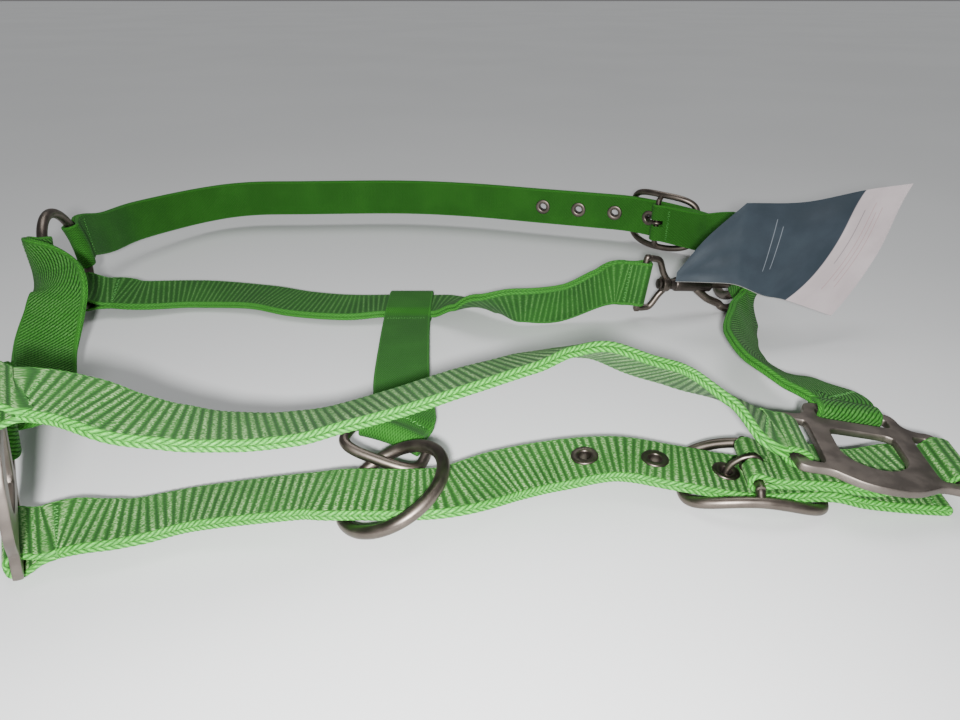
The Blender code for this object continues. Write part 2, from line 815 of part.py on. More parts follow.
RING_EYE = Eye(4.8, 3.4, 12.5)
THROAT_RING_EYE = Eye(4.6, 4.7, 12.0)
BAR_EYE = Eye(3.2, 2.7, 9.5)
SIDE_BAR_EYE = Eye(2.6, 3.2, 9.0)
BUCKLE_EYE = Eye(1.8, 1.8, 7.5)
WEB_EYE = Eye(13.5, 2.4, 19.5, power=0.3)
LOOP_EYE = Eye(3.3, 2.6, 9.5)
RAISED_EYE = Eye(2.9, 2.4, 9.5, rise=4.2)
RING_DROP = 1.6 * MM


def crown_route(frames):
    """Crown strap: from the left ring, on edge round the back, to its free end."""
    seat, outward, along = ring_seat(frames["left_ring"], 2.0, RING_DROP)
    return Route(
        lead(seat, outward, along)
        + stations(
            [
                (-238, 85, 28, 86),
                (-234, 124, 24, 86),
                (-207, 171, 21, 88),
                (-177, 188, 21, 90),
                (-134, 191, 21, 90),
                (-62, 193, 21, 90),
                (-8, 185, 21, 90),
                (45, 169, 21, 90),
                (81, 158, 21, 90),
                (107.5, 148.9, 21, 90),
                (127.5, 133.9, 21, 90),
                (144.1, 115.2, 21, 90),
                (154.5, 99, 21, 88),
                (160.5, 86, 22, 78),
            ]
        )
    )


def crown_billet_route(frames):
    """Short crown billet: from the buckle bar down to the right ring."""
    bar = frames["crown_buckle"].translation
    upright = Vector((0.0, 0.0, 1.0))
    seat, outward, along = ring_seat(frames["right_ring"], 0.0, RING_DROP)
    return Route(
        lead(bar, frames["crown_buckle"].to_3x3() @ Vector((1.0, 0.0, 0.0)), upright, 14.0 * MM)
        + stations([(142.5, 109.0, 21.5, 90), (149.0, 95, 24, 88)])
        + lead(seat, outward, along)[::-1]
    )


def throat_route(frames):
    """Throat strap: face up at the left ring, twisting on to its edge at the snap."""
    ring = frames["left_ring"]
    seat, _, along = ring_seat(ring, 287.0, RING_DROP)
    heading = Vector((0.97, 0.2, -0.1))
    heading = (heading - along * heading.dot(along)).normalized()
    snap = frames["snap"]
    arrive = snap.to_3x3() @ Vector((1.0, 0.0, 0.0))
    upright = snap.to_3x3() @ Vector((0.0, 1.0, 0.0))
    return Route(
        lead(seat, heading, along)
        + stations(
            [
                (-197, 29.5, 7.8, 12),
                (-167, 37, 5.5, 10),
                (-130, 34, 4.8, 4),
                (-104, 24, 4.8, 5),
                (-77, 19, 4.8, 4),
                (-56, 20.5, 4.9, 0),
                (-40, 20.5, 4.9, 0),
                (-24, 20.5, 4.9, 0),
                (-9, 14.5, 8.5, -12),
                (4, 6, 12.5, -38),
                (22, -1, 14.5, -63),
                (44, 2, 14.5, -71),
                (63, 8, 20, -77),
            ]
        )
        + lead(snap.translation, -arrive, -upright, 17.0 * MM)[::-1]
    )


def connector_route(frames):
    """Connector: from a fold round the throat strap to the loop that holds the lead ring."""
    loop = frames["loop"]
    bar = loop @ Vector((0.0, LOOP_HALF_WIDTH - 0.8 * MM, 0.0))
    across = loop.to_3x3() @ Vector((1.0, 0.0, 0.0))
    outward = loop.to_3x3() @ Vector((0.0, 1.0, 0.0))
    flat = Vector((1.0, 0.0, 0.0))
    return Route(
        [
            (spot(-40, 20.5, 4.9), flat),
            (spot(-40, 9, 4.9), flat),
            (spot(-40, -3, 5.2), flat),
            (spot(-38, -38, 8), flat),
            (spot(-35, -80, 11), flat),
        ]
        + lead(bar, outward, across)[::-1]
    )


def chin_route(frames):
    """Chin strap: low in front, from the left plate to its free end under the right plate."""
    seat, _, along = plate_seat(frames["left_plate"], "chin")
    heading = Vector((0.87, 0.5, 0.0))
    heading = (heading - along * heading.dot(along)).normalized()
    return Route(
        lead(seat, heading, along, 14.0 * MM)
        + stations(
            [
                (-128, -169, 7, -2),
                (-118, -166, 6, -5),
                (-99, -159, 6, -7),
                (-64, -155, 8, -5),
                (-48, -155.5, 9.3, 0),
                (-14, -154.5, 9.3, 0),
                (10, -142, 7.5, 6),
                (28, -136, 7.5, 5),
                (52, -133.5, 9.0, 0),
                (76, -138.5, 7.9, 0),
                (101, -141, 5, 0),
                (126, -143.5, 7.5, 0),
                (140, -143.5, 4.2, 0),
                (158, -144, 2.4, 0),
                (170, -145, 2.3, 0),
            ]
        )
    )


def chin_billet_route(frames):
    """Short chin billet: from the buckle bar, under the right plate, to its outer bar."""
    bar = frames["chin_buckle"].translation
    plate = frames["right_plate"]
    seat, outward, along = plate_seat(plate, "chin")
    down = plate.to_3x3() @ Vector((0.0, 0.0, -4.2 * MM))
    return Route(
        lead(bar, frames["chin_buckle"].to_3x3() @ Vector((1.0, 0.0, 0.0)), along, 12.0 * MM)
        + stations([(126, -143, 11.8, 0), (141, -143, 9.4, 0)])
        + lead(seat + down, -outward, along, 17.0 * MM)[::-1]
    )


def noseband_route(frames):
    """Noseband: from the left plate's upper bar, over the front, to the right plate."""
    seat, _, along = plate_seat(frames["left_plate"], "nose")
    heading = Vector((0.87, 0.5, -0.28))
    heading = (heading - along * heading.dot(along)).normalized()
    last, outward, bar = plate_seat(frames["right_plate"], "nose")
    arrive = (outward + Vector((0.0, 0.0, 0.35))).normalized()
    return Route(
        lead(seat, heading, along, 10.5 * MM)
        + stations(
            [
                (-121, -173.5, 58.5, -4),
                (-107, -176, 54.5, -5),
                (-93, -175.5, 51, -7),
                (-78, -172, 47, -10),
                (-61, -166, 44, -13),
                (-46, -160, 44, -18),
                (-27, -151, 45, -17),
                (-7, -143, 48, -17),
                (14, -134, 50, -20),
                (29, -127, 51, -28),
                (44, -123, 50, -33),
                (60, -121, 43, -38),
                (76, -120, 37, -42),
                (94, -127, 31, -30),
            ]
        )
        + lead(last, arrive, bar, 11.0 * MM)[::-1]
    )


def left_cheek_route(frames):
    """Left cheek strap: from the standing plate up to the left ring."""
    seat, outward, along = plate_seat(frames["left_plate"], "cheek")
    ring, out, wire = ring_seat(frames["left_ring"], 162.0, RING_DROP)
    return Route(
        lead(seat, outward, along)
        + stations(
            [
                (-171, -121, 31, 235),
                (-186, -93, 19, 212),
                (-199, -66, 21, 203),
                (-201, -47, 33, 188),
                (-204, -34, 42, 150),
            ]
        )
        + lead(ring, out, -wire)[::-1]
    )


def right_cheek_route(frames):
    """Right cheek strap: from the right ring down to the right plate."""
    ring, out, wire = ring_seat(frames["right_ring"], 195.0, RING_DROP)
    seat, outward, along = plate_seat(frames["right_plate"], "cheek")
    return Route(
        lead(ring, out, -wire, 12.5 * MM)
        + stations(
            [
                (141.5, -12, 16.5, 112),
                (134, -28, 15.5, 126),
                (127, -52, 15.5, 142),
                (130, -74, 15.5, 150),
                (140, -89.5, 16, 165),
            ]
        )
        + lead(seat, outward, -along, 10.5 * MM)[::-1]
    )


def slot_for_tongue(strap, name, frame):
    """Cut the slot that a tongue turns in through the middle of a billet's fold."""
    slot = box_bm((-8.0 * MM, -2.0 * MM, -8.0 * MM), (5.4 * MM, 2.0 * MM, 8.0 * MM))
    boolean(strap, name, slot, frame, "DIFFERENCE")


def nearest_place(route, point):
    """Distance along a route at which it comes nearest to a point."""
    steps = round(route.length / (0.25 * MM))
    places = [route.length * k / steps for k in range(steps + 1)]
    return min(places, key=lambda place: (route.at(place) - point).length)


def buckled_strap(name, route, head, frame, count):
    """A punched strap with its eyelets; the tongue of its buckle stands in one of them."""
    tongue_reach = 8.9 * MM
    under_tongue = frame @ Vector((-tongue_reach, 0.0, -6.5 * MM))
    taken = nearest_place(route, under_tongue)
    places = [taken + EYELET_PITCH * step for step in range(1 - count, 1)]
    add_strap(name, route, head, None, places)
    for k, place in enumerate(places):
        add_eyelet(name + "_eyelet_" + str(k + 1), route, place)
    return places


def build_halter():
    """Place every sub-part of the halter."""
    clear_scene()
    frames = metal_layout()
    build_rings(frames)
    cheek_plate("left_cheek_plate", frames["left_plate"])
    cheek_plate("right_cheek_plate", frames["right_plate"])
    buckle_frame("crown_buckle_frame", frames["crown_buckle"])
    buckle_frame("chin_buckle_frame", frames["chin_buckle"])
    prong = [(-3.0, 2.4), (-5.0, 1.1), (-6.9, -0.8), (-8.1, -3.2), (-8.8, -6.0)]
    short_prong = prong + [(-9.4, -9.2)]
    long_prong = prong + [(-9.9, -9.4), (-12.6, -12.6), (-18.0, -13.9), (-26.0, -14.0)]
    buckle_tongue("crown_buckle_tongue", frames["crown_buckle"], long_prong)
    buckle_tongue("chin_buckle_tongue", frames["chin_buckle"], short_prong)

    buckled_strap("crown_strap", crown_route(frames), RING_EYE, frames["crown_buckle"], 4)
    buckled_strap("chin_strap", chin_route(frames), SIDE_BAR_EYE, frames["chin_buckle"], 3)
    billet = add_strap("crown_billet", crown_billet_route(frames), BUCKLE_EYE, RING_EYE)
    slot_for_tongue(billet, "crown_billet_slot", frames["crown_buckle"])
    billet = add_strap("chin_billet", chin_billet_route(frames), BUCKLE_EYE, RAISED_EYE)
    slot_for_tongue(billet, "chin_billet_slot", frames["chin_buckle"])
    add_strap("throat_strap", throat_route(frames), THROAT_RING_EYE, BUCKLE_EYE)
    add_strap("connector_strap", connector_route(frames), WEB_EYE, LOOP_EYE)
    add_strap("noseband", noseband_route(frames), SIDE_BAR_EYE, BAR_EYE)
    add_strap("left_cheek_strap", left_cheek_route(frames), BAR_EYE, RING_EYE)
    add_strap("right_cheek_strap", right_cheek_route(frames), RING_EYE, BAR_EYE)

    snap_eye(frames["snap"])
    snap_hook(frames["snap_hook"])
    snap_bolt(frames["snap_hook"])

    top = [
        spot(104, -2, 34),
        spot(120, 7, 50),
        spot(142, 18, 65.5),
        spot(174, 20, 65.5),
        spot(206, 22, 71.5),
        spot(230, 22, 75),
    ]
    bottom = [
        spot(103, -5, 30),
        spot(119, -10, 31.5),
        spot(132, -13, 32),
        spot(145, -18, 28.5),
        spot(157, -18, 25),
        spot(185, -13, 14),
    ]
    hang_tag(top, bottom, TAG_THICKNESS)


build_halter()
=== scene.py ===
"""Looks of a nylon stable halter: woven webbing, satin gunmetal hardware and a plain card tag.

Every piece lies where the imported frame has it.  Straps are woven belts: one ply runs out along a
route, round the bar at its end and back again, so its two plies and its folds are one long loop.
"""

import math

import bmesh
import bpy
from mathutils import Matrix, Vector


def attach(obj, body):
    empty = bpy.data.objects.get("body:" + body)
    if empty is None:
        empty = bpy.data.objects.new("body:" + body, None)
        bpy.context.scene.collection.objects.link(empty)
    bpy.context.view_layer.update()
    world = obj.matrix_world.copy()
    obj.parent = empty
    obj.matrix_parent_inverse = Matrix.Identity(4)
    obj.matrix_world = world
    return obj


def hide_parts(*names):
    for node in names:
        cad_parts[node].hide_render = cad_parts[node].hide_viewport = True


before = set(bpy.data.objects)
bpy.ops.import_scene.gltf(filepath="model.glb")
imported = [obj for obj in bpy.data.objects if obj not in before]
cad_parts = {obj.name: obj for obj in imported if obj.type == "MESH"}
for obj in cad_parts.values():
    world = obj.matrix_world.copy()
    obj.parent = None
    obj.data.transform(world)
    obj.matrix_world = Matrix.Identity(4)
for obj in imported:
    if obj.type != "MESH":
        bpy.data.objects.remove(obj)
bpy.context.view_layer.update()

MM = 0.001
LAYOUT_CENTRE = Vector((-5.5, -2.57, 0.1)) * MM

UP = Vector((0.0, 0.0, 1.0))
AXIS_X = Vector((1.0, 0.0, 0.0))
AXIS_Y = Vector((0.0, 1.0, 0.0))

# Webbing
HALF_WIDTH = 12.7 * MM
PLY = 1.95 * MM
PLY_MIDDLE = PLY / 2.0 + 0.02 * MM
EDGE_ZONE = 1.5 * MM
RIB_PITCH = 2.85 * MM
STRAP_STEP = 0.46 * MM
FOLD_EASE = 0.12 * MM
PICK_LEAN = 1.3  # how far a selvedge pick runs along the strap for its height

# Hardware
RING_WIRE = 5.2 * MM
RING_RADIUS = 26.0 * MM
RING_DROP = 1.6 * MM
LEAD_WIRE = 4.8 * MM
LEAD_RADIUS = 20.5 * MM
LOOP_WIRE = 4.2 * MM
LOOP_HALF_LENGTH = 15.7 * MM
LOOP_HALF_WIDTH = 8.9 * MM
SIDE_BAR = 29.0 * MM
CHEEK_BAR = 27.0 * MM
PLATE_THICKNESS = 3.0 * MM
SLOT_LENGTH = 28.0 * MM
SLOT_WIDTH = 6.5 * MM
BUCKLE_HALF_LENGTH = 25.0 * MM
BUCKLE_HALF_WIDTH = 18.5 * MM
BUCKLE_WIRE = 4.2 * MM
BUCKLE_BAR = 3.6 * MM
BUCKLE_BOW = 6.2 * MM
BUCKLE_SINK = 3.4 * MM
TONGUE_WIRE = 2.4 * MM
EYELET_FLANGE = 10.6 * MM
EYELET_BORE = 5.0 * MM
EYELET_PITCH = 26.5 * MM


# Places


def spot(x, y, z):
    """A layout point given in millimetres."""
    return Vector((x, y, z)) * MM - LAYOUT_CENTRE


def square_to(vector, axis):
    """The unit vector nearest to a vector that is square to a unit axis."""
    return (vector - axis * vector.dot(axis)).normalized()


def basis(origin, x_axis, y_axis):
    """A frame from an origin, an X direction and a rough Y direction."""
    x_axis = Vector(x_axis).normalized()
    y_axis = square_to(Vector(y_axis), x_axis)
    z_axis = x_axis.cross(y_axis)
    place = Matrix((x_axis, y_axis, z_axis)).transposed().to_4x4()
    place.translation = origin
    return place


def metal_layout():
    """Where each rigid metal piece lies, as in the frame."""
    return {
        "left_ring": basis(spot(-228, 18, 33.5), (-0.2, 0.98, 0.0), (-0.14, -0.05, 0.989)),
        "right_ring": basis(spot(152, 36, 31), (0.05, 0.999, 0.0), (0.40, -0.02, 0.915)),
        "left_plate": basis(spot(-148, -178.5, 35.9), (-0.17, 0.02, -0.985), (-0.5, 0.866, 0.0)),
        "right_plate": basis(spot(144.7, -139.5, 15.9), (0.987, -0.12, -0.11), (0.12, 0.99, 0.0)),
        "chin_buckle": basis(spot(101, -141, 11.9), (0.995, -0.10, 0.0), (0.10, 0.995, 0.0)),
        "crown_buckle": basis(spot(123, 129, 21), (0.735, -0.678, 0.0), (0.0, 0.0, 1.0)),
        "snap": basis(spot(90, 15, 21), (52.7, 12.9, -6.2), (0.21, 0.04, 0.977)),
        "snap_hook": basis(spot(90, 15, 21), (52.7, 12.9, -6.2), (-0.12, -0.397, -0.898)),
        "lead_ring": basis(spot(-31.4, -154.1, 11.3), (0.88, -0.265, 0.395), (0.214, 0.962, 0.169)),
        "loop": basis(spot(-36.4, -130.5, 12.3), (0.941, -0.229, -0.249), (0.236, 0.972, 0.0)),
    }


PLACES = metal_layout()


def column(name, axis):
    """One axis of a placed frame."""
    return PLACES[name].to_3x3().col[axis].copy()


# Materials


class Nodes:
    """Short ways to add and join shader nodes."""

    def __init__(self, name, roughness, metallic=0.0):
        self.material = bpy.data.materials.new(name)
        self.material.use_nodes = True
        self.tree = self.material.node_tree
        self.shader = self.tree.nodes["Principled BSDF"]
        self.shader.inputs["Roughness"].default_value = roughness
        self.shader.inputs["Metallic"].default_value = metallic

    def put(self, socket, value):
        """A link if the value is a socket, or a plain value."""
        if isinstance(value, bpy.types.NodeSocket):
            self.tree.links.new(value, socket)
        else:
            socket.default_value = value

    def math(self, operation, first, second=0.0, third=0.0):
        node = self.tree.nodes.new("ShaderNodeMath")
        node.operation = operation
        for socket, value in zip(node.inputs, (first, second, third)):
            self.put(socket, value)
        return node.outputs[0]

    def times(self, first, second):
        return self.math("MULTIPLY", first, second)

    def times_plus(self, first, second, third):
        return self.math("MULTIPLY_ADD", first, second, third)

    def waves(self, value, period):
        """|sin|, with one crest to a period."""
        return self.math("ABSOLUTE", self.math("SINE", self.times(value, math.pi / period)))

    def ramp(self, value, low, high, to_low=0.0, to_high=1.0):
        node = self.tree.nodes.new("ShaderNodeMapRange")
        node.interpolation_type = "SMOOTHSTEP"
        names = ("Value", "From Min", "From Max", "To Min", "To Max")
        for name, entry in zip(names, (value, low, high, to_low, to_high)):
            self.put(node.inputs[name], entry)
        return node.outputs["Result"]

    def mix(self, share, first, second):
        node = self.tree.nodes.new("ShaderNodeMix")
        node.data_type = "RGBA"
        for place, value in ((0, share), (6, first), (7, second)):
            self.put(node.inputs[place], value)
        return node.outputs[2]

    def noise(self, vector, scale, detail=2.0):
        node = self.tree.nodes.new("ShaderNodeTexNoise")
        node.inputs["Scale"].default_value = scale
        node.inputs["Detail"].default_value = detail
        self.put(node.inputs["Vector"], vector)
        return node.outputs["Fac"]

    def grain(self, x, y, scale_x, scale_y, detail=2.0):
        """Noise stretched over two map coordinates."""
        node = self.tree.nodes.new("ShaderNodeCombineXYZ")
        self.put(node.inputs[0], self.times(x, scale_x))
        self.put(node.inputs[1], self.times(y, scale_y))
        return self.noise(node.outputs[0], 1.0, detail)

    def map(self):
        """The two map coordinates of the surface."""
        node = self.tree.nodes.new("ShaderNodeUVMap")
        node.uv_map = "UVMap"
        split = self.tree.nodes.new("ShaderNodeSeparateXYZ")
        self.tree.links.new(node.outputs[0], split.inputs[0])
        return split.outputs[0], split.outputs[1]

    def solid(self):
        """Object coordinates."""
        return self.tree.nodes.new("ShaderNodeTexCoord").outputs["Object"]

    def bump(self, height, distance, strength=1.0):
        node = self.tree.nodes.new("ShaderNodeBump")
        node.inputs["Distance"].default_value = distance
        node.inputs["Strength"].default_value = strength
        self.put(node.inputs["Height"], height)
        self.tree.links.new(node.outputs[0], self.shader.inputs["Normal"])

    def set(self, **values):
        for name, value in values.items():
            self.put(self.shader.inputs[name.replace("_", " ")], value)
        return self.material


def rgb(red, green, blue):
    return (red, green, blue, 1.0)


DEEP_GREEN = rgb(0.004, 0.034, 0.003)
WEB_GREEN = rgb(0.026, 0.150, 0.016)
BRIGHT_GREEN = rgb(0.050, 0.260, 0.028)
EDGE_GREEN = rgb(0.040, 0.270, 0.020)
LOOP_HIGHLIGHT_GREEN = rgb(0.170, 0.640, 0.100)
PAINTED_GLINT_GREEN = rgb(0.400, 0.660, 0.270)

# glint: share of painted highlight on the pale crests.  low, high: the relief at which the painted shade is
# darkest and lightest.
# picks: selvedge picks to a rib.  loops: share of painted highlight on the selvedge loops.  edge: how far
# it leaves the face.
LOOKS = {
    "rib": dict(glint=0.66, low=-0.45, high=0.9, bump=0.7, rough=0.62, picks=1.3, loops=0.75, edge=1.0),
    "soft": dict(glint=0.16, low=-1.0, high=1.6, bump=0.25, rough=0.75, picks=1.7, loops=0.2, edge=0.35),
    "twill": dict(glint=0.12, low=0.25, high=0.85, bump=1.3, rough=0.82, picks=2.4, loops=0.2, edge=0.25),
    "plain": dict(glint=0.03, low=-0.15, high=0.9, bump=1.0, rough=0.80, picks=2.6, loops=0.1, edge=0.15),
}
SHINE = {"rib": 0.35, "soft": 0.25, "twill": 0.12, "plain": 0.12}


def webbing_material(name, pitch, style):
    """Woven nylon: weft ribs, twill or a plain weave, with slanted picks along the selvedge; painted shade
    in its hollows and painted highlights on its crests and selvedge loops.
    """
    look = LOOKS[style]
    n = Nodes(name, look["rough"])
    along, across = n.map()
    side = n.math("ABSOLUTE", across)
    on_face = n.ramp(side, HALF_WIDTH - EDGE_ZONE, HALF_WIDTH - EDGE_ZONE + 0.5 * MM, 1.0, 0.0)
    seam = n.math("SUBTRACT", 1.0, n.math("ABSOLUTE", n.times_plus(on_face, 2.0, -1.0)))
    yarn = n.math("SINE", n.times(across, 2.0 * math.pi / (1.1 * MM)))
    flecks = n.grain(along, across, 1100.0, 1500.0)
    strands = n.grain(along, across, 420.0, 1500.0)
    patch = n.noise(n.solid(), 45.0, 3.0)

    if style in ("rib", "soft"):
        wander = n.times_plus(n.math("SUBTRACT", strands, 0.5), 1.1 * MM, along)
        relief = n.math("POWER", n.waves(wander, pitch), 1.5 if style == "rib" else 4.0)
    elif style == "twill":
        stripe = n.waves(n.times_plus(across, 1.25, along), 2.1 * MM)
        broken = n.math("SINE", n.times_plus(across, 2.0 * math.pi / (1.3 * MM), strands))
        relief = n.times_plus(broken, 0.12, stripe)
    else:
        pick = n.math("SINE", n.times(along, 2.0 * math.pi / (1.9 * MM)))
        relief = n.times_plus(n.times(pick, yarn), 0.5, 0.5)

    # The selvedge's picks slant, so that two plies laid together make chevrons
    slanted = n.times_plus(side, PICK_LEAN, along)
    slanted = n.times_plus(n.math("SUBTRACT", flecks, 0.5), 0.7 * MM, slanted)
    picks = n.waves(slanted, pitch / look["picks"])

    uneven = n.grain(along, across, 160.0, 50.0)
    # Painted highlight: pale glints on the rib crests, broken up along the yarn, where light catches the
    # face.
    crest_glint = n.times(n.ramp(relief, 0.40, 0.95), n.ramp(flecks, 0.38, 0.62))
    crest_glint = n.times(crest_glint, n.ramp(uneven, 0.25, 0.70, 0.45, 1.15))
    # Painted shade: the colour darkens in the weave's hollows and lightens on its ridges.
    face = n.mix(n.ramp(relief, look["low"], look["high"]), DEEP_GREEN, WEB_GREEN)
    face = n.mix(n.times(n.ramp(patch, 0.35, 0.7), 0.14), face, BRIGHT_GREEN)
    face = n.mix(n.times(crest_glint, look["glint"]), face, PAINTED_GLINT_GREEN)
    # Painted shade in the gaps between the selvedge picks.
    edge = n.mix(n.ramp(picks, -0.05, 0.55), DEEP_GREEN, n.mix(look["edge"], WEB_GREEN, EDGE_GREEN))
    # Painted highlight on the bright loops of the selvedge picks.
    loops = n.times(n.ramp(picks, 0.70, 1.0), n.ramp(flecks, 0.30, 0.62))
    edge = n.mix(n.times(loops, look["loops"]), edge, LOOP_HIGHLIGHT_GREEN)
    base = n.mix(on_face, edge, face)
    base = n.mix(n.times(n.ramp(seam, 0.2, 0.9), 0.45), base, DEEP_GREEN)

    height = n.times_plus(relief, look["bump"], n.times_plus(yarn, 0.20, strands))
    n.bump(height, 0.16 * MM, 0.9)
    rough = n.ramp(flecks, 0.35, 0.7, look["rough"] + 0.10, look["rough"] - 0.08)
    return n.set(Base_Color=base, Roughness=rough, Sheen_Weight=0.03, Specular_IOR_Level=SHINE[style])


def metal_material(name, tone, roughness):
    """Satin plating with faint mottling and fine wear."""
    n = Nodes(name, roughness, 1.0)
    spots = n.noise(n.solid(), 130.0, 4.0)
    fine = n.noise(n.solid(), 1900.0, 2.0)
    dark = rgb(*(value * 0.88 for value in tone))
    light = rgb(*(min(1.0, value * 1.14) for value in tone))
    base = n.mix(n.ramp(spots, 0.35, 0.68), dark, light)
    rough = n.times_plus(fine, 0.12, n.ramp(spots, 0.3, 0.7, roughness - 0.05, roughness + 0.07))
    n.bump(fine, 0.02 * MM, 0.5)
    return n.set(Base_Color=base, Roughness=rough)


def thread_material():
    """Sewing thread, a little darker than the webbing."""
    n = Nodes("thread", 0.6)
    lay = n.noise(n.solid(), 2400.0, 2.0)
    base = n.mix(n.ramp(lay, 0.4, 0.65), rgb(0.020, 0.130, 0.015), rgb(0.100, 0.380, 0.070))
    n.bump(lay, 0.08 * MM, 0.8)
    return n.set(Base_Color=base)


GUNMETAL = metal_material("gunmetal", (0.165, 0.138, 0.118), 0.34)
CAST_METAL = metal_material("gunmetal_cast", (0.20, 0.172, 0.152), 0.42)
DARK_METAL = metal_material("gunmetal_dark", (0.10, 0.085, 0.075), 0.34)
THREAD = thread_material()


# Meshes


def show(name, data):
    """An object that holds some data, linked to the scene."""
    shown = bpy.data.objects.new(name, data)
    bpy.context.scene.collection.objects.link(shown)
    return shown


def settle(name, mesh, material, body, nodes, smooth_angle):
    """Show a mesh, with its material, its body and the CAD nodes it stands for."""
    mesh.materials.append(material)
    mesh.shade_smooth()
    if smooth_angle is not None:
        mesh.set_sharp_from_angle(angle=math.radians(smooth_angle))
    piece = show(name, mesh)
    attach(piece, body)
    if nodes:
        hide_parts(*nodes)
    return piece


def add_mesh(name, verts, faces, uvs, material, nodes, smooth_angle=None):
    """A mapped sheet piece on the halter's own body."""
    mesh = bpy.data.meshes.new(name)
    mesh.from_pydata(verts, [], faces)
    mesh.update()
    mesh.uv_layers.new(name="UVMap").data.foreach_set("uv", uvs)
    return settle(name, mesh, material, "halter", nodes, smooth_angle)


def from_bmesh(name, bm, place, material, body, nodes=(), smooth_angle=38.0):
    """A piece built in its own frame."""
    bmesh.ops.recalc_face_normals(bm, faces=bm.faces)
    bm.transform(place)
    mesh = bpy.data.meshes.new(name)
    bm.to_mesh(mesh)
    bm.free()
    settle(name, mesh, material, body, nodes, smooth_angle)


def in_mm(pairs):
    return [(first * MM, second * MM) for first, second in pairs]


def circle(radius, sides):
    step = 2.0 * math.pi / sides
    return [(radius * math.cos(step * k), radius * math.sin(step * k)) for k in range(sides)]


def band(bm, here, there):
    """Faces between two closed rows of vertices."""
    for j in range(len(here)):
        i = (j + 1) % len(here)
        bm.faces.new((here[j], here[i], there[i], there[j]))


def sweep(bm, centres, section, up, closed, scales=None):
    """Sweep a section along centres, its second axis kept close to up."""
    loops = []
    count = len(centres)
    for k, centre in enumerate(centres):
        if closed:
            ahead = centres[(k + 1) % count]
            behind = centres[k - 1]
        else:
            ahead = centres[min(k + 1, count - 1)]
            behind = centres[max(k - 1, 0)]
        tangent = (ahead - behind).normalized()
        side = up.cross(tangent).normalized()
        normal = tangent.cross(side)
        size = scales[k] if scales else 1.0
        loops.append([bm.verts.new(centre + (side * u + normal * v) * size) for u, v in section])
    for k in range(count if closed else count - 1):
        band(bm, loops[k], loops[(k + 1) % count])
    if not closed:
        bm.faces.new(loops[0])
        bm.faces.new(loops[-1])


def hermite(before, start, end, after, share):
    """Smooth curve through start and end."""
    leave = (end - before) * 0.5
    arrive = (after - start) * 0.5
    s2 = share * share
    s3 = s2 * share
    return (
        start * (2.0 * s3 - 3.0 * s2 + 1.0)
        + leave * (s3 - 2.0 * s2 + share)
        + end * (3.0 * s2 - 2.0 * s3)
        + arrive * (s3 - s2)
    )


def smooth_line(points, steps):
    """A finer line through the points."""
    count = len(points)
    line = []
    for k in range(count - 1):
        before = points[k - 1] if k else points[0] * 2.0 - points[1]
        after = points[k + 2] if k + 2 < count else points[-1] * 2.0 - points[-2]
        for j in range(steps + (k == count - 2)):
            line.append(hermite(before, points[k], points[k + 1], after, j / steps))
    return line


def signed_power(value, power):
    return math.copysign(abs(value) ** power, value)


def superellipse(half_x, half_y, power, steps):
    points = []
    for k in range(steps):
        angle = 2.0 * math.pi * k / steps
        x = half_x * signed_power(math.cos(angle), power)
        y = half_y * signed_power(math.sin(angle), power)
        points.append((x, y))
    return points


def ease(share):
    share = min(max(share, 0.0), 1.0)
    return share * share * (3.0 - 2.0 * share)


def stops_along(points):
    """Distance along a line at each of its points."""
    stops = [0.0]
    for here, there in zip(points, points[1:]):
        stops.append(stops[-1] + (there - here).length)
    return stops


def even_points(line, step=0.0, count=0):
    """A closed line cut into equal steps, given their length or their number, and its length."""
    closed = line + [line[0]]
    stops = stops_along(closed)
    total = stops[-1]
    count = count or round(total / step)
    points = []
    k = 0
    for j in range(count):
        target = total * j / count
        while stops[k + 1] < target:
            k += 1
        share = (target - stops[k]) / (stops[k + 1] - stops[k])
        points.append(closed[k].lerp(closed[k + 1], share))
    return points, total


# Straps


class Route:
    """The middle line of a strap, with the direction of its width at every point."""

    def __init__(self, stations, steps=20):
        """stations: (point, width direction or lean in degrees)."""
        points = [point for point, _ in stations]
        count = len(points)
        widths = []
        for k, (point, width) in enumerate(stations):
            if isinstance(width, (int, float)):
                travel = points[min(k + 1, count - 1)] - points[max(k - 1, 0)]
                side = Vector((-travel.y, travel.x, 0.0)).normalized()
                lean = math.radians(width)
                width = side * math.cos(lean) + Vector((0.0, 0.0, math.sin(lean)))
            widths.append(width.normalized())
        self.points = smooth_line(points, steps)
        self.widths = []
        for k in range(count - 1):
            for j in range(steps + (k == count - 2)):
                self.widths.append(widths[k].lerp(widths[k + 1], ease(j / steps)))
        self.stops = stops_along(self.points)
        self.length = self.stops[-1]

    def frame(self, place):
        """Middle, travel, width and face directions at a distance along the strap."""
        inside = min(max(place, 0.0), self.length)
        low = 0
        high = len(self.stops) - 1
        while high - low > 1:
            middle = (low + high) // 2
            if self.stops[middle] <= inside:
                low = middle
            else:
                high = middle
        share = (inside - self.stops[low]) / (self.stops[low + 1] - self.stops[low])
        centre = self.points[low].lerp(self.points[low + 1], share)
        width = self.widths[low].lerp(self.widths[low + 1], share)
        tangent = self.tangent(low).lerp(self.tangent(low + 1), share).normalized()
        centre = centre + tangent * (place - inside)
        width = square_to(width, tangent)
        return centre, tangent, width, tangent.cross(width)

    def tangent(self, k):
        ahead = self.points[min(k + 1, len(self.points) - 1)]
        behind = self.points[max(k - 1, 0)]
        return (ahead - behind).normalized()


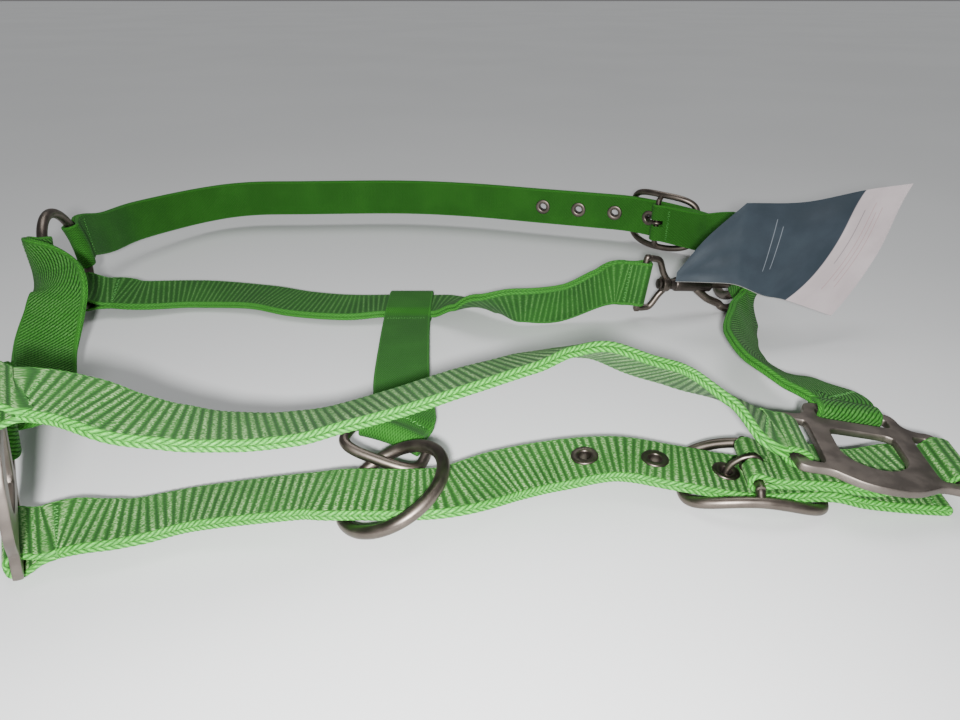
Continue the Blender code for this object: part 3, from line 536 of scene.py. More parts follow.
class Fold:
    """How a strap turns back round a bar; outward and curve follow a bar that is bent."""

    def __init__(self, half_along, half_off, reach, rise=0.0, power=1.0, outward=None, curve=0.0, drop=0.0):
        self.half_along = half_along * MM + FOLD_EASE + PLY / 2.0
        self.half_off = half_off * MM + FOLD_EASE + PLY / 2.0
        self.reach = reach * MM
        self.rise = rise * MM
        self.power = power
        self.outward = outward
        self.curve = curve
        self.drop = drop * MM

    def shift(self, across, place):
        """How far a bent bar moves this point of the fold."""
        if self.outward is None:
            return Vector((0.0, 0.0, 0.0))
        sag = self.curve - math.sqrt(max(self.curve * self.curve - across * across, 0.0))
        share = 1.0 - ease(place / self.reach)
        return self.outward * ((self.drop - sag) * share)

    def line(self, away):
        """(along, off) points from the lower face round the bar to the upper face."""
        start = Vector((self.reach, -PLY_MIDDLE))
        turn = []
        opening = math.radians(68.0)
        steps = 26
        for k in range(steps + 1):
            angle = -opening - (2.0 * math.pi - 2.0 * opening) * k / steps
            along = self.half_along * signed_power(math.cos(angle), self.power)
            off = self.half_off * signed_power(math.sin(angle), self.power)
            turn.append(Vector((along, self.rise + off)))
        first = turn[0]
        last = turn[-1]
        end = Vector((self.reach, PLY_MIDDLE))
        level = Vector((-0.55 * (self.reach - first.x), 0.0))
        pull = 0.3 * (self.reach - first.x)
        into = bezier(start, start + level, first + (first - turn[1]).normalized() * pull, first)
        out = bezier(last, last + (last - turn[-2]).normalized() * pull, end + level, end)
        return [Vector((point.x * away, point.y)) for point in into[:-1] + turn + out[1:]]


def bezier(p0, p1, p2, p3, steps=10):
    points = []
    for k in range(steps + 1):
        t = k / steps
        u = 1.0 - t
        points.append(p0 * u**3 + p1 * (3.0 * u * u * t) + p2 * (3.0 * u * t * t) + p3 * t**3)
    return points


def belt_line(length, head, tail):
    """The closed (along, off) line that one ply follows; without a tail it turns at a plain tip."""
    line = head.line(1.0)
    start = head.reach
    stop = length - (tail.reach if tail else PLY_MIDDLE)
    count = max(2, int((stop - start) / (2.0 * MM)))
    for k in range(1, count):
        line.append(Vector((start + (stop - start) * k / count, PLY_MIDDLE)))
    if tail:
        line += [Vector((length + point.x, point.y)) for point in reversed(tail.line(-1.0))]
    else:
        steps = 8
        for k in range(steps + 1):
            angle = math.pi / 2.0 - math.pi * k / steps
            line.append(Vector((stop + PLY_MIDDLE * math.cos(angle), PLY_MIDDLE * math.sin(angle))))
    for k in range(1, count):
        line.append(Vector((stop - (stop - start) * k / count, -PLY_MIDDLE)))
    return line


def even_line(line, step):
    """The closed line cut into equal steps: (point, direction, distance) and its length."""
    points, total = even_points(line, step=step)
    count = len(points)
    samples = []
    for j in range(count):
        direction = (points[(j + 1) % count] - points[j - 1]).normalized()
        samples.append((points[j], direction, total * j / count))
    return samples, total


def ply_profile():
    """Round the ply: (across, off, direction, rib share, selvedge share, slant, map place)."""
    rows = []
    half_ply = PLY / 2.0
    flat = HALF_WIDTH - half_ply
    face_steps = 22
    for k in range(face_steps + 1):
        across = -flat + 2.0 * flat * k / face_steps
        rib = 1.0 - ease((abs(across) - (flat - EDGE_ZONE)) / (0.6 * EDGE_ZONE))
        height = half_ply + flat - abs(across)
        rows.append((across, half_ply, (0.0, 1.0), rib, 1.0 - rib, height, across))
    for k in range(1, 7):
        angle = math.pi / 2.0 - math.pi * k / 7.0
        rows.append(edge_row(1.0, angle, flat, half_ply))
    back_steps = 8
    for k in range(back_steps + 1):
        across = flat - 2.0 * flat * k / back_steps
        rows.append((across, -half_ply, (0.0, -1.0), 0.25, 0.0, 0.0, across))
    for k in range(1, 7):
        angle = -math.pi / 2.0 + math.pi * k / 7.0
        rows.append(edge_row(-1.0, angle, flat, half_ply))
    return rows


def edge_row(side, angle, flat, half_ply):
    across = flat + half_ply * math.cos(angle)
    off = half_ply * math.sin(angle)
    place = flat + half_ply * (math.pi / 2.0 - angle)
    return (side * across, off, (side * math.cos(angle), math.sin(angle)), 0.0, 1.0, off, side * place)


PROFILE = ply_profile()


def weave_strap(name, route, head, tail, style, rib_height, holes=(), slot_at=None):
    """A woven strap; holes are (place, radius) and slot_at is (start, end, half width)."""
    line = belt_line(route.length, head, tail)
    samples, total = even_line(line, STRAP_STEP)
    pitch = total / round(total / RIB_PITCH)
    picks_pitch = pitch / LOOKS[style]["picks"]
    selvedge_height = 0.18 * MM if style in ("rib", "soft") else 0.04 * MM
    rows = len(samples)
    sides = len(PROFILE)
    verts = []
    for point, direction, distance in samples:
        centre, travel, width, face = route.frame(point.x)
        outward = face * direction.x - travel * direction.y
        base = centre + face * point.y
        rib = abs(math.sin(math.pi * distance / pitch)) ** 0.8 - 0.5
        lean = math.copysign(PICK_LEAN, direction.x)
        fold = None
        if point.x < head.reach:
            fold = head
            inset = point.x
        elif tail and point.x > route.length - tail.reach:
            fold = tail
            inset = route.length - point.x
        for across, off, (push_v, push_n), rib_share, edge_share, height, _ in PROFILE:
            picks = math.sin(math.pi * (distance + lean * height) / picks_pitch)
            swell = rib_height * rib * rib_share + selvedge_height * (abs(picks) - 0.5) * edge_share
            spot_here = base + width * (across + push_v * swell) + outward * (off + push_n * swell)
            if fold:
                spot_here = spot_here + fold.shift(across, max(inset, 0.0))
            verts.append(spot_here)
    faces = []
    uvs = []
    skip = cut_faces(samples, route, holes, slot_at)
    for k in range(rows):
        there = (k + 1) % rows
        low = samples[k][2]
        high = total * (k + 1) / rows
        forward = samples[k][1].x > 0.0
        for j in range(sides):
            if (k, j) in skip:
                continue
            i = (j + 1) % sides
            faces.append((k * sides + j, there * sides + j, there * sides + i, k * sides + i))
            here_map = PROFILE[j][6]
            next_map = PROFILE[i][6]
            if abs(next_map - here_map) > 5.0 * MM:
                next_map = here_map
            if not forward:
                here_map = mirror_edge(here_map)
                next_map = mirror_edge(next_map)
            uvs += [low, here_map, high, here_map, high, next_map, low, next_map]
    material = webbing_material(name + "_weave", pitch, style)
    add_mesh(name + "_woven", verts, faces, uvs, material, [name])


def mirror_edge(place):
    """Map place on the selvedge, run the other way round so that its picks slant the other way."""
    flat = HALF_WIDTH - PLY / 2.0
    if abs(place) <= flat:
        return place
    return math.copysign(2.0 * flat + math.pi * PLY / 2.0 + EDGE_ZONE - abs(place), place)


def cut_faces(samples, route, holes, slot_at):
    """Faces left out where the strap is punched or slotted."""
    skip = set()
    if not holes and not slot_at:
        return skip
    for k, (point, _, _) in enumerate(samples):
        for j, row in enumerate(PROFILE):
            following = PROFILE[(j + 1) % len(PROFILE)]
            across = (row[0] + following[0]) / 2.0
            for place, radius in holes:
                if (point.x - place) ** 2 + across**2 < radius**2:
                    skip.add((k, j))
            if slot_at:
                low, high, half_width = slot_at
                if low < point.x < high and abs(across) < half_width:
                    skip.add((k, j))
    return skip


def stitch_rows(name, route, places):
    """Rows of bar-tacked thread across a strap, on both of its faces."""
    bm = bmesh.new()
    length = 1.9 * MM
    radius = 0.27 * MM
    bow = 0.35 * MM
    pitch = 1.5 * MM
    margin = 2.5 * MM
    lift = PLY_MIDDLE + PLY / 2.0 + 0.02 * MM
    count = int((2.0 * HALF_WIDTH - 2.0 * margin) / pitch)
    for place in places:
        for k in range(count + 1):
            across = -HALF_WIDTH + margin + pitch * k
            centre, travel, width, face = route.frame(place)
            tilt = 0.55 if k % 2 else -0.55
            for side in (1.0, -1.0):
                lay = (travel + width * tilt).normalized() * (length / 2.0)
                base = centre + width * across + face * side * lift
                line = []
                for share in (-1.0, -0.5, 0.0, 0.5, 1.0):
                    line.append(base + lay * share - face * side * (bow * share * share))
                sweep(bm, line, circle(radius, 6), face, False)
    from_bmesh(name, bm, Matrix.Identity(4), THREAD, "halter", (), None)


def stations(rows):
    """Route stations from (x, y, z, lean) rows, in layout millimetres and degrees."""
    return [(spot(x, y, z), lean) for x, y, z, lean in rows]


def lead(seat, heading, width, distance=16.0 * MM):
    """The stations that carry a strap straight out of its fold."""
    return [(seat + heading * distance * share, width) for share in (0.0, 0.55, 1.0)]


def ring_seat(name, angle):
    """Point on a ring's wire, moved in a little, with its outward and wire directions."""
    turn = math.radians(angle)
    outward = column(name, 0) * math.cos(turn) + column(name, 1) * math.sin(turn)
    along = column(name, 1) * math.cos(turn) - column(name, 0) * math.sin(turn)
    return PLACES[name].translation + outward * (RING_RADIUS - RING_DROP), outward, along


def plate_seat(name, side):
    """Middle of one of a cheek plate's outer bars, its outward and its bar direction."""
    across = column(name, 0)
    up = column(name, 1)
    centre = PLACES[name].translation
    if side == "nose":
        return centre - across * SIDE_BAR, -across, up
    if side == "chin":
        return centre + across * SIDE_BAR, across, up
    return centre + up * CHEEK_BAR, up, across


def ring_fold(outward):
    return Fold(2.85, 2.65, 12.5, outward=outward, curve=RING_RADIUS, drop=RING_DROP / MM)


def bar_fold(rise=0.0):
    return Fold(2.9, 1.9, 9.5, rise=rise, power=0.7)


def side_bar_fold():
    return Fold(1.9, 2.9, 9.0, power=0.7)


def buckle_fold():
    return Fold(1.8, 1.8, 7.5)


# The nine straps


def crown_route():
    seat, outward, along = ring_seat("left_ring", 2.0)
    route = Route(
        lead(seat, outward, along)
        + stations([
            (-238, 85, 28, 86), (-234, 124, 24, 86), (-207, 171, 21, 88), (-177, 188, 21, 90),
            (-134, 191, 21, 90), (-62, 193, 21, 90), (-8, 185, 21, 90), (45, 169, 21, 90),
            (81, 158, 21, 90), (107.5, 148.9, 21, 90), (127.5, 133.9, 21, 90), (144.1, 115.2, 21, 90),
            (154.5, 99, 21, 88), (160.5, 86, 22, 78),
        ])
    )
    return route, ring_fold(outward), None


def crown_billet_route():
    bar = PLACES["crown_buckle"].translation
    seat, outward, along = ring_seat("right_ring", 0.0)
    route = Route(
        lead(bar, column("crown_buckle", 0), UP, 14.0 * MM)
        + stations([(142.5, 109.0, 21.5, 90), (149.0, 95, 24, 88)])
        + lead(seat, outward, along)[::-1]
    )
    return route, buckle_fold(), ring_fold(outward)


def throat_route():
    seat, outward, along = ring_seat("left_ring", 287.0)
    heading = square_to(Vector((0.97, 0.2, -0.1)), along)
    route = Route(
        lead(seat, heading, along)
        + stations([
            (-197, 29.5, 7.8, 12), (-167, 37, 5.5, 10), (-130, 34, 4.8, 4), (-104, 24, 4.8, 5),
            (-77, 19, 4.8, 4), (-56, 20.5, 4.9, 0), (-40, 20.5, 4.9, 0), (-24, 20.5, 4.9, 0),
            (-9, 14.5, 8.5, -12), (4, 6, 12.5, -38), (22, -1, 14.5, -63), (44, 2, 14.5, -71),
            (63, 8, 20, -77),
        ])
        + lead(PLACES["snap"].translation, -column("snap", 0), -column("snap", 1), 17.0 * MM)[::-1]
    )
    return route, ring_fold(outward), buckle_fold()


def connector_route():
    bar = PLACES["loop"] @ Vector((0.0, LOOP_HALF_WIDTH - 0.8 * MM, 0.0))
    outward = column("loop", 1)
    rows = ((-40, 20.5, 4.9), (-40, 9, 4.9), (-40, -3, 5.2), (-38, -38, 8), (-35, -80, 11))
    laid = [(spot(*row), AXIS_X) for row in rows]
    route = Route(laid + lead(bar, outward, column("loop", 0))[::-1])
    loop_fold = Fold(2.3, 2.2, 9.5, outward=outward, curve=49.0 * MM, drop=0.8)
    return route, Fold(13.1, 2.2, 19.5, power=0.3), loop_fold


def chin_route():
    seat, _, along = plate_seat("left_plate", "chin")
    heading = square_to(Vector((0.87, 0.5, 0.0)), along)
    route = Route(
        lead(seat, heading, along, 14.0 * MM)
        + stations([
            (-128, -169, 7, -2), (-118, -166, 6, -5), (-99, -159, 6, -7), (-64, -155, 8, -5),
            (-48, -155.5, 9.3, 0), (-14, -154.5, 9.3, 0), (10, -142, 7.5, 6), (28, -136, 7.5, 5),
            (52, -133.5, 9.0, 0), (76, -138.5, 7.9, 0), (101, -141, 5, 0), (126, -143.5, 7.5, 0),
            (140, -143.5, 4.2, 0), (158, -144, 2.4, 0), (170, -145, 2.3, 0),
        ])
    )
    return route, side_bar_fold(), None


def chin_billet_route():
    bar = PLACES["chin_buckle"].translation
    seat, outward, along = plate_seat("right_plate", "chin")
    down = column("right_plate", 2) * (-4.2 * MM)
    route = Route(
        lead(bar, column("chin_buckle", 0), along, 12.0 * MM)
        + stations([(126, -143, 11.8, 0), (141, -143, 9.4, 0)])
        + lead(seat + down, -outward, along, 17.0 * MM)[::-1]
    )
    return route, buckle_fold(), bar_fold(rise=4.2)


def noseband_route():
    seat, _, along = plate_seat("left_plate", "nose")
    heading = square_to(Vector((0.87, 0.5, -0.28)), along)
    last, outward, bar = plate_seat("right_plate", "nose")
    arrive = (outward + Vector((0.0, 0.0, 0.35))).normalized()
    route = Route(
        lead(seat, heading, along, 10.5 * MM)
        + stations([
            (-121, -173.5, 58.5, -4), (-107, -176, 54.5, -5), (-93, -175.5, 51, -7),
            (-78, -172, 47, -10), (-61, -166, 44, -13), (-46, -160, 44, -18), (-27, -151, 45, -17),
            (-7, -143, 48, -17), (14, -134, 50, -20), (29, -127, 51, -28), (44, -123, 50, -33),
            (60, -121, 43, -38), (76, -120, 37, -42), (94, -127, 31, -30),
        ])
        + lead(last, arrive, bar, 11.0 * MM)[::-1]
    )
    return route, side_bar_fold(), bar_fold()


def left_cheek_route():
    seat, outward, along = plate_seat("left_plate", "cheek")
    ring, out, wire = ring_seat("left_ring", 162.0)
    route = Route(
        lead(seat, outward, along)
        + stations([
            (-171, -121, 31, 235), (-186, -93, 19, 212), (-199, -66, 21, 203), (-201, -47, 33, 188),
            (-204, -34, 42, 150),
        ])
        + lead(ring, out, -wire)[::-1]
    )
    return route, bar_fold(), ring_fold(out)


def right_cheek_route():
    ring, out, wire = ring_seat("right_ring", 195.0)
    seat, outward, along = plate_seat("right_plate", "cheek")
    route = Route(
        lead(ring, out, -wire, 12.5 * MM)
        + stations([
            (141.5, -12, 16.5, 112), (134, -28, 15.5, 126), (127, -52, 15.5, 142),
            (130, -74, 15.5, 150), (140, -89.5, 16, 165),
        ])
        + lead(seat, outward, -along, 10.5 * MM)[::-1]
    )
    return route, ring_fold(out), bar_fold()


def nearest_place(route, point):
    """Distance along a route at which it comes nearest to a point."""
    steps = round(route.length / (0.25 * MM))
    places = [route.length * k / steps for k in range(steps + 1)]
    return min(places, key=lambda place: (route.frame(place)[0] - point).length)


def punched_places(route, buckle, count):
    """Where a buckled strap's eyelets are; the tongue stands in the last one."""
    under_tongue = PLACES[buckle] @ Vector((-8.9 * MM, 0.0, -6.5 * MM))
    taken = nearest_place(route, under_tongue)
    return [taken + EYELET_PITCH * step for step in range(1 - count, 1)]


def build_straps():
    """Weave the nine straps, with their eyelets and their stitching."""
    heavy = 0.26 * MM
    light = 0.10 * MM
    fine = 0.05 * MM
    punch = 3.6 * MM
    fold_tack = 2.0 * MM
    billet_slot = (-1.0, 5.6 * MM, 2.2 * MM)
    for name, made, buckle, count, style, ribs in (
        ("crown_strap", crown_route(), "crown_buckle", 4, "plain", fine),
        ("chin_strap", chin_route(), "chin_buckle", 3, "rib", heavy),
    ):
        route, head, tail = made
        places = punched_places(route, buckle, count)
        holes = [(place, punch) for place in places]
        weave_strap(name, route, head, tail, style, ribs, holes)
        for k, place in enumerate(places):
            eyelet(name + "_eyelet_" + str(k + 1), route, place)
        stitch_rows(name + "_stitches", route, [head.reach + 3.0 * MM, route.length - 5.0 * MM])
    for name, made, style, ribs, slot in (
        ("crown_billet", crown_billet_route(), "plain", fine, billet_slot),
        ("chin_billet", chin_billet_route(), "rib", heavy, billet_slot),
        ("throat_strap", throat_route(), "soft", light, None),
        ("connector_strap", connector_route(), "plain", fine, None),
        ("noseband", noseband_route(), "rib", heavy, None),
        ("left_cheek_strap", left_cheek_route(), "twill", fine, None),
        ("right_cheek_strap", right_cheek_route(), "twill", fine, None),
    ):
        route, head, tail = made
        weave_strap(name, route, head, tail, style, ribs, (), slot)
        rows = [head.reach + fold_tack, route.length - tail.reach - fold_tack]
        stitch_rows(name + "_stitches", route, rows)


# Hardware


def eyelet(name, route, place):
    """A rolled eyelet: a domed flange on each face round a short tube."""
    centre, travel, width, face = route.frame(place)
    bore = EYELET_BORE / 2.0
    flange = EYELET_FLANGE / 2.0
    seat = 2.1 * MM
    dome = 0.75 * MM
    steps = 10
    profile = []
    crown = (bore + flange) / 2.0
    half = (flange - bore) / 2.0
    for side in (1.0, -1.0):
        for k in range(steps + 1):
            angle = math.pi * k / steps
            radius = crown + half * math.cos(angle) * side
            lift = seat + dome * math.sin(angle) ** 0.7
            profile.append((radius, lift * side))
    turned(name, profile, True, 48, "Z", basis(centre, width, face.cross(width)), "halter", [name])


def turned(name, profile, closed, steps, axis, place, body, nodes, skip=None, material=GUNMETAL):
    """A profile of (radius, height) pairs turned about Z, or of (radius, X) pairs about X."""
    bm = bmesh.new()
    loops = []
    for k in range(steps):
        angle = 2.0 * math.pi * k / steps
        row = []
        for radius, height in profile:
            u = radius * math.cos(angle)
            v = radius * math.sin(angle)
            row.append(bm.verts.new((u, v, height) if axis == "Z" else (height, u, v)))
        loops.append(row)
    for k in range(steps):
        here = loops[k]
        there = loops[(k + 1) % steps]
        for j in range(len(profile) - (0 if closed else 1)):
            i = (j + 1) % len(profile)
            if skip and skip(k / steps, profile[j][1], profile[i][1]):
                continue
            bm.faces.new((here[j], here[i], there[i], there[j]))
    if not closed:
        for end in (0, -1):
            if profile[end][0] > 0.0:
                bm.faces.new([row[end] for row in loops])
    from_bmesh(name + "_shown", bm, place, material, body, nodes)


def ring(name, place, outline, wire, body):
    """A welded ring or loop of round wire."""
    bm = bmesh.new()
    centres = [Vector((x, y, 0.0)) for x, y in outline]
    sweep(bm, centres, circle(wire / 2.0, 24), UP, True)
    from_bmesh(name + "_shown", bm, PLACES[place], GUNMETAL, body, [name])


def plate_outline():
    half = [
        (0.0, 29.5), (15.5, 29.5), (18.5, 26.5), (19.0, 20.5), (23.5, 18.0), (28.5, 18.5), (31.5, 15.5),
        (31.5, -15.5), (28.5, -18.5), (19.5, -17.5), (15.5, -20.0), (9.0, -23.5), (0.0, -24.5),
    ]
    return in_mm(half + [(-x, y) for x, y in reversed(half[1:-1])])


def window_outline():
    half = 12.3 * MM
    points = [(half, 11.5 * MM), (-half, 11.5 * MM)]
    for k in range(17):
        angle = math.pi + math.pi * k / 16.0
        points.append((half * math.cos(angle), -2.0 * MM + 11.0 * MM * math.sin(angle)))
    return points


def round_off(outline, share):
    """The outline with its corners cut three times over, so that they read as round."""
    for _ in range(3):
        cut = []
        for k, here in enumerate(outline):
            there = outline[(k + 1) % len(outline)]
            for part in (share, 1.0 - share):
                cut.append((here[0] + (there[0] - here[0]) * part, here[1] + (there[1] - here[1]) * part))
        outline = cut
    return outline


def inset(outline, distance):
    """The outline moved towards its own left by a distance."""
    moved = []
    count = len(outline)
    for k in range(count):
        before = Vector(outline[k - 1])
        here = Vector(outline[k])
        after = Vector(outline[(k + 1) % count])
        run = (after - before).normalized()
        moved.append((here.x - run.y * distance, here.y + run.x * distance))
    return moved


def turning(outline):
    """Twice the signed area of an outline."""
    return sum(a[0] * b[1] - b[0] * a[1] for a, b in zip(outline, outline[1:] + outline[:1]))


def cheek_plate(name, place):
    """A cast three-slot plate with soft edges."""
    slot_x = SIDE_BAR - 2.5 * MM - SLOT_WIDTH / 2.0
    slot_y = CHEEK_BAR - 2.5 * MM - SLOT_WIDTH / 2.0
    long_half = SLOT_LENGTH / 2.0
    wide_half = SLOT_WIDTH / 2.0
    outlines = [round_off(plate_outline(), 0.25), round_off(window_outline(), 0.12)]
    for x, y, half_x, half_y in (
        (-slot_x, 0.0, wide_half, long_half),
        (slot_x, 0.0, wide_half, long_half),
        (0.0, slot_y, long_half, wide_half),
    ):
        outlines.append([(x + u, y + v) for u, v in superellipse(half_x, half_y, 0.3, 48)])
    bm = bmesh.new()
    half = PLATE_THICKNESS / 2.0
    soft = 0.5 * MM
    steps = 12
    caps = ([], [])
    for k, outline in enumerate(outlines):
        if (turning(outline) > 0.0) != (k == 0):
            outline = outline[::-1]
        rows = []
        for j in range(steps + 1):
            angle = math.pi * j / steps - math.pi / 2.0
            bulge = signed_power(math.sin(angle), 0.75)
            depth = soft * (1.0 - abs(math.cos(angle)) ** 0.75)
            rows.append([bm.verts.new((x, y, half * bulge)) for x, y in inset(outline, depth)])
        for here, there in zip(rows, rows[1:]):
            band(bm, here, there)
        caps[1].append(rows[0])
        caps[0].append(rows[-1])
    for rows in caps:
        edges = []
        for row in rows:
            for here, there in zip(row, row[1:] + row[:1]):
                edges.append(bm.edges.get((here, there)))
        bmesh.ops.triangle_fill(bm, use_beauty=True, use_dissolve=False, edges=edges)
    from_bmesh(name + "_shown", bm, PLACES[place], CAST_METAL, "halter", [name], 30.0)


def buckle_rim(angle):
    across = math.cos(angle)
    x = BUCKLE_HALF_LENGTH * signed_power(across, 0.8)
    y = BUCKLE_HALF_WIDTH * signed_power(math.sin(angle), 0.4)
    return Vector((x, y, -BUCKLE_SINK - BUCKLE_BOW * abs(across) ** 1.5))


def buckle(name, place):
    """An oval frame and its arched bar."""
    steps = 240
    bm = bmesh.new()
    rough_line = [buckle_rim(2.0 * math.pi * k / steps) for k in range(steps)]
    even, _ = even_points(rough_line, count=140)
    sweep(bm, even, circle(BUCKLE_WIRE / 2.0, 22), UP, True)
    half_bar = in_mm([(13.2, 0.0), (15.0, -0.6), (16.6, -2.0)])
    half_bar.append((BUCKLE_HALF_WIDTH, -BUCKLE_SINK - 0.3 * MM))
    ends = [Vector((0.0, -y, z)) for y, z in reversed(half_bar)]
    ends += [Vector((0.0, y, z)) for y, z in half_bar]
    sweep(bm, smooth_line(ends, 6), circle(BUCKLE_BAR / 2.0, 20), AXIS_X, False)
    from_bmesh(name + "_shown", bm, PLACES[place], GUNMETAL, "halter", [name])


def rounded_ends(line, radius):
    """Points and scales that close a wire's two ends with domes."""
    steps = 5
    angles = [math.pi / 2.0 * k / steps for k in range(1, steps + 1)]
    first = (line[0] - line[1]).normalized() * radius
    last = (line[-1] - line[-2]).normalized() * radius
    sizes = [max(math.cos(angle), 0.05) for angle in angles]
    before = [line[0] + first * math.sin(angle) for angle in reversed(angles)]
    after = [line[-1] + last * math.sin(angle) for angle in angles]
    return before + line + after, sizes[::-1] + [1.0] * len(line) + sizes


def tongue(name, place, prong, body):
    """A wire tongue: a curl round the bar and a prong that drops into an eyelet."""
    curl = BUCKLE_BAR / 2.0 + 0.3 * MM + TONGUE_WIRE / 2.0
    centres = []
    for k in range(17):
        angle = math.radians(-150.0 + 240.0 * k / 16.0)
        centres.append(Vector((curl * math.cos(angle), 0.0, curl * math.sin(angle))))
    line = centres[:-1] + smooth_line([centres[-1]] + [Vector((x, 0.0, z)) * MM for x, z in prong], 6)
    line, sizes = rounded_ends(line, TONGUE_WIRE / 2.0)
    bm = bmesh.new()
    sweep(bm, line, circle(TONGUE_WIRE / 2.0, 18), AXIS_Y, False, sizes)
    from_bmesh(name + "_shown", bm, PLACES[place], GUNMETAL, body, [name])


def snap():
    """Swivel bolt snap: webbing eye, barrel with its hook, and the sliding bolt."""
    neck = 14.2
    high = 14.6
    arch = [(neck, 3.6), (neck - 2.5, 7.0), (neck - 6.0, high - 1.2), (neck - 9.5, high), (1.6, high)]
    arch.append((0.0, high - 1.6))
    arch = [Vector((x, y, 0.0)) for x, y in in_mm(arch + [(x, -y) for x, y in reversed(arch)])]
    bow = bmesh.new()
    sweep(bow, smooth_line(arch, 8), circle(1.8 * MM, 22), UP, False)
    from_bmesh("snap_eye_bow_shown", bow, PLACES["snap"], GUNMETAL, "halter", ["snap_eye"])
    half_boss = [(2.1, 2.2), (3.6, 2.2), (4.2, 1.9), (4.4, 1.2)]
    boss = [(radius, neck - x) for radius, x in half_boss]
    boss += [(radius, neck + x) for radius, x in reversed(half_boss)]
    turned("snap_boss", in_mm(boss), True, 48, "X", PLACES["snap"], "halter", ())
    start = 20.0
    end = 43.0
    slot_start = 27.0
    slot_end = 37.0
    barrel = [
        (1.2, neck - 4.6), (2.8, neck - 4.0), (3.0, neck - 2.9), (1.75, neck - 2.5), (1.75, neck + 2.6),
        (3.0, neck + 3.0), (3.2, start), (3.7, start + 0.3), (4.0, start + 1.0), (4.0, slot_start),
        (4.0, slot_end), (4.0, end - 1.0), (3.7, end - 0.3), (3.2, end), (2.4, end), (2.4, 24.0),
        (0.2, 23.6),
    ]

    def in_slot(turn, low, high):
        slack = 0.1 * MM
        inside = min(low, high) >= slot_start * MM - slack and max(low, high) <= slot_end * MM + slack
        return inside and abs(turn - 0.5) < 0.07

    hook_place = PLACES["snap_hook"]
    turned("snap_barrel", in_mm(barrel), False, 64, "X", hook_place, "snap", (), in_slot, DARK_METAL)
    centres = [(35.0, 3.0), (38.5, 5.6), (42.5, 8.2)]
    for k in range(13):
        angle = math.radians(140.0 - 202.0 * k / 12.0)
        centres.append((54.6 + 7.2 * math.cos(angle), 6.0 + 7.2 * math.sin(angle)))
    line = smooth_line([Vector((x, y, 0.0)) for x, y in in_mm(centres)], 4)
    line, sizes = rounded_ends(line, 2.0 * MM)
    curl = bmesh.new()
    sweep(curl, line, circle(2.2 * MM, 22), UP, False, sizes)
    from_bmesh("snap_hook_shown", curl, hook_place, GUNMETAL, "snap", ["snap_hook"])
    pin = [(0.1, 32.0), (1.9, 32.0), (1.9, 54.4), (1.6, 55.1), (1.0, 55.4), (0.1, 55.4)]
    turned("snap_bolt", in_mm(pin), False, 32, "X", hook_place, "bolt", ["snap_bolt"])
    knob = [(1.0, 0.5), (1.0, 4.6), (1.9, 4.9), (2.4, 5.5), (2.5, 6.3), (2.1, 7.0), (1.2, 7.4), (0.1, 7.5)]
    knob_place = hook_place @ Matrix.Translation((35.5 * MM, 0.0, 0.0))
    knob_place = knob_place @ Matrix.Rotation(math.radians(-90.0), 4, "Z")
    turned("snap_knob", in_mm(knob), False, 32, "X", knob_place, "bolt", ())


def build_hardware():
    big = circle(RING_RADIUS, 160)
    small = circle(LEAD_RADIUS, 160)
    ring("left_upper_ring", "left_ring", big, RING_WIRE, "left_ring")
    ring("right_upper_ring", "right_ring", big, RING_WIRE, "right_ring")
    ring("lead_ring", "lead_ring", small, LEAD_WIRE, "lead_ring")
    oval = superellipse(LOOP_HALF_LENGTH, LOOP_HALF_WIDTH, 0.6, 360)
    oval, _ = even_points([Vector((x, y, 0.0)) for x, y in oval], count=120)
    ring("connector_loop", "loop", [(p.x, p.y) for p in oval], LOOP_WIRE, "loop")
    cheek_plate("left_cheek_plate", "left_plate")
    cheek_plate("right_cheek_plate", "right_plate")
    buckle("crown_buckle_frame", "crown_buckle")
    buckle("chin_buckle_frame", "chin_buckle")
    prong = [(-3.0, 2.4), (-5.0, 1.1), (-6.9, -0.8), (-8.1, -3.2), (-8.8, -6.0)]
    long_prong = prong + [(-9.9, -9.4), (-12.6, -12.6), (-18.0, -13.9), (-26.0, -14.0)]
    tongue("crown_buckle_tongue", "crown_buckle", long_prong, "crown_tongue")
    tongue("chin_buckle_tongue", "chin_buckle", prong + [(-9.4, -9.2)], "chin_tongue")
    snap()


# Tag


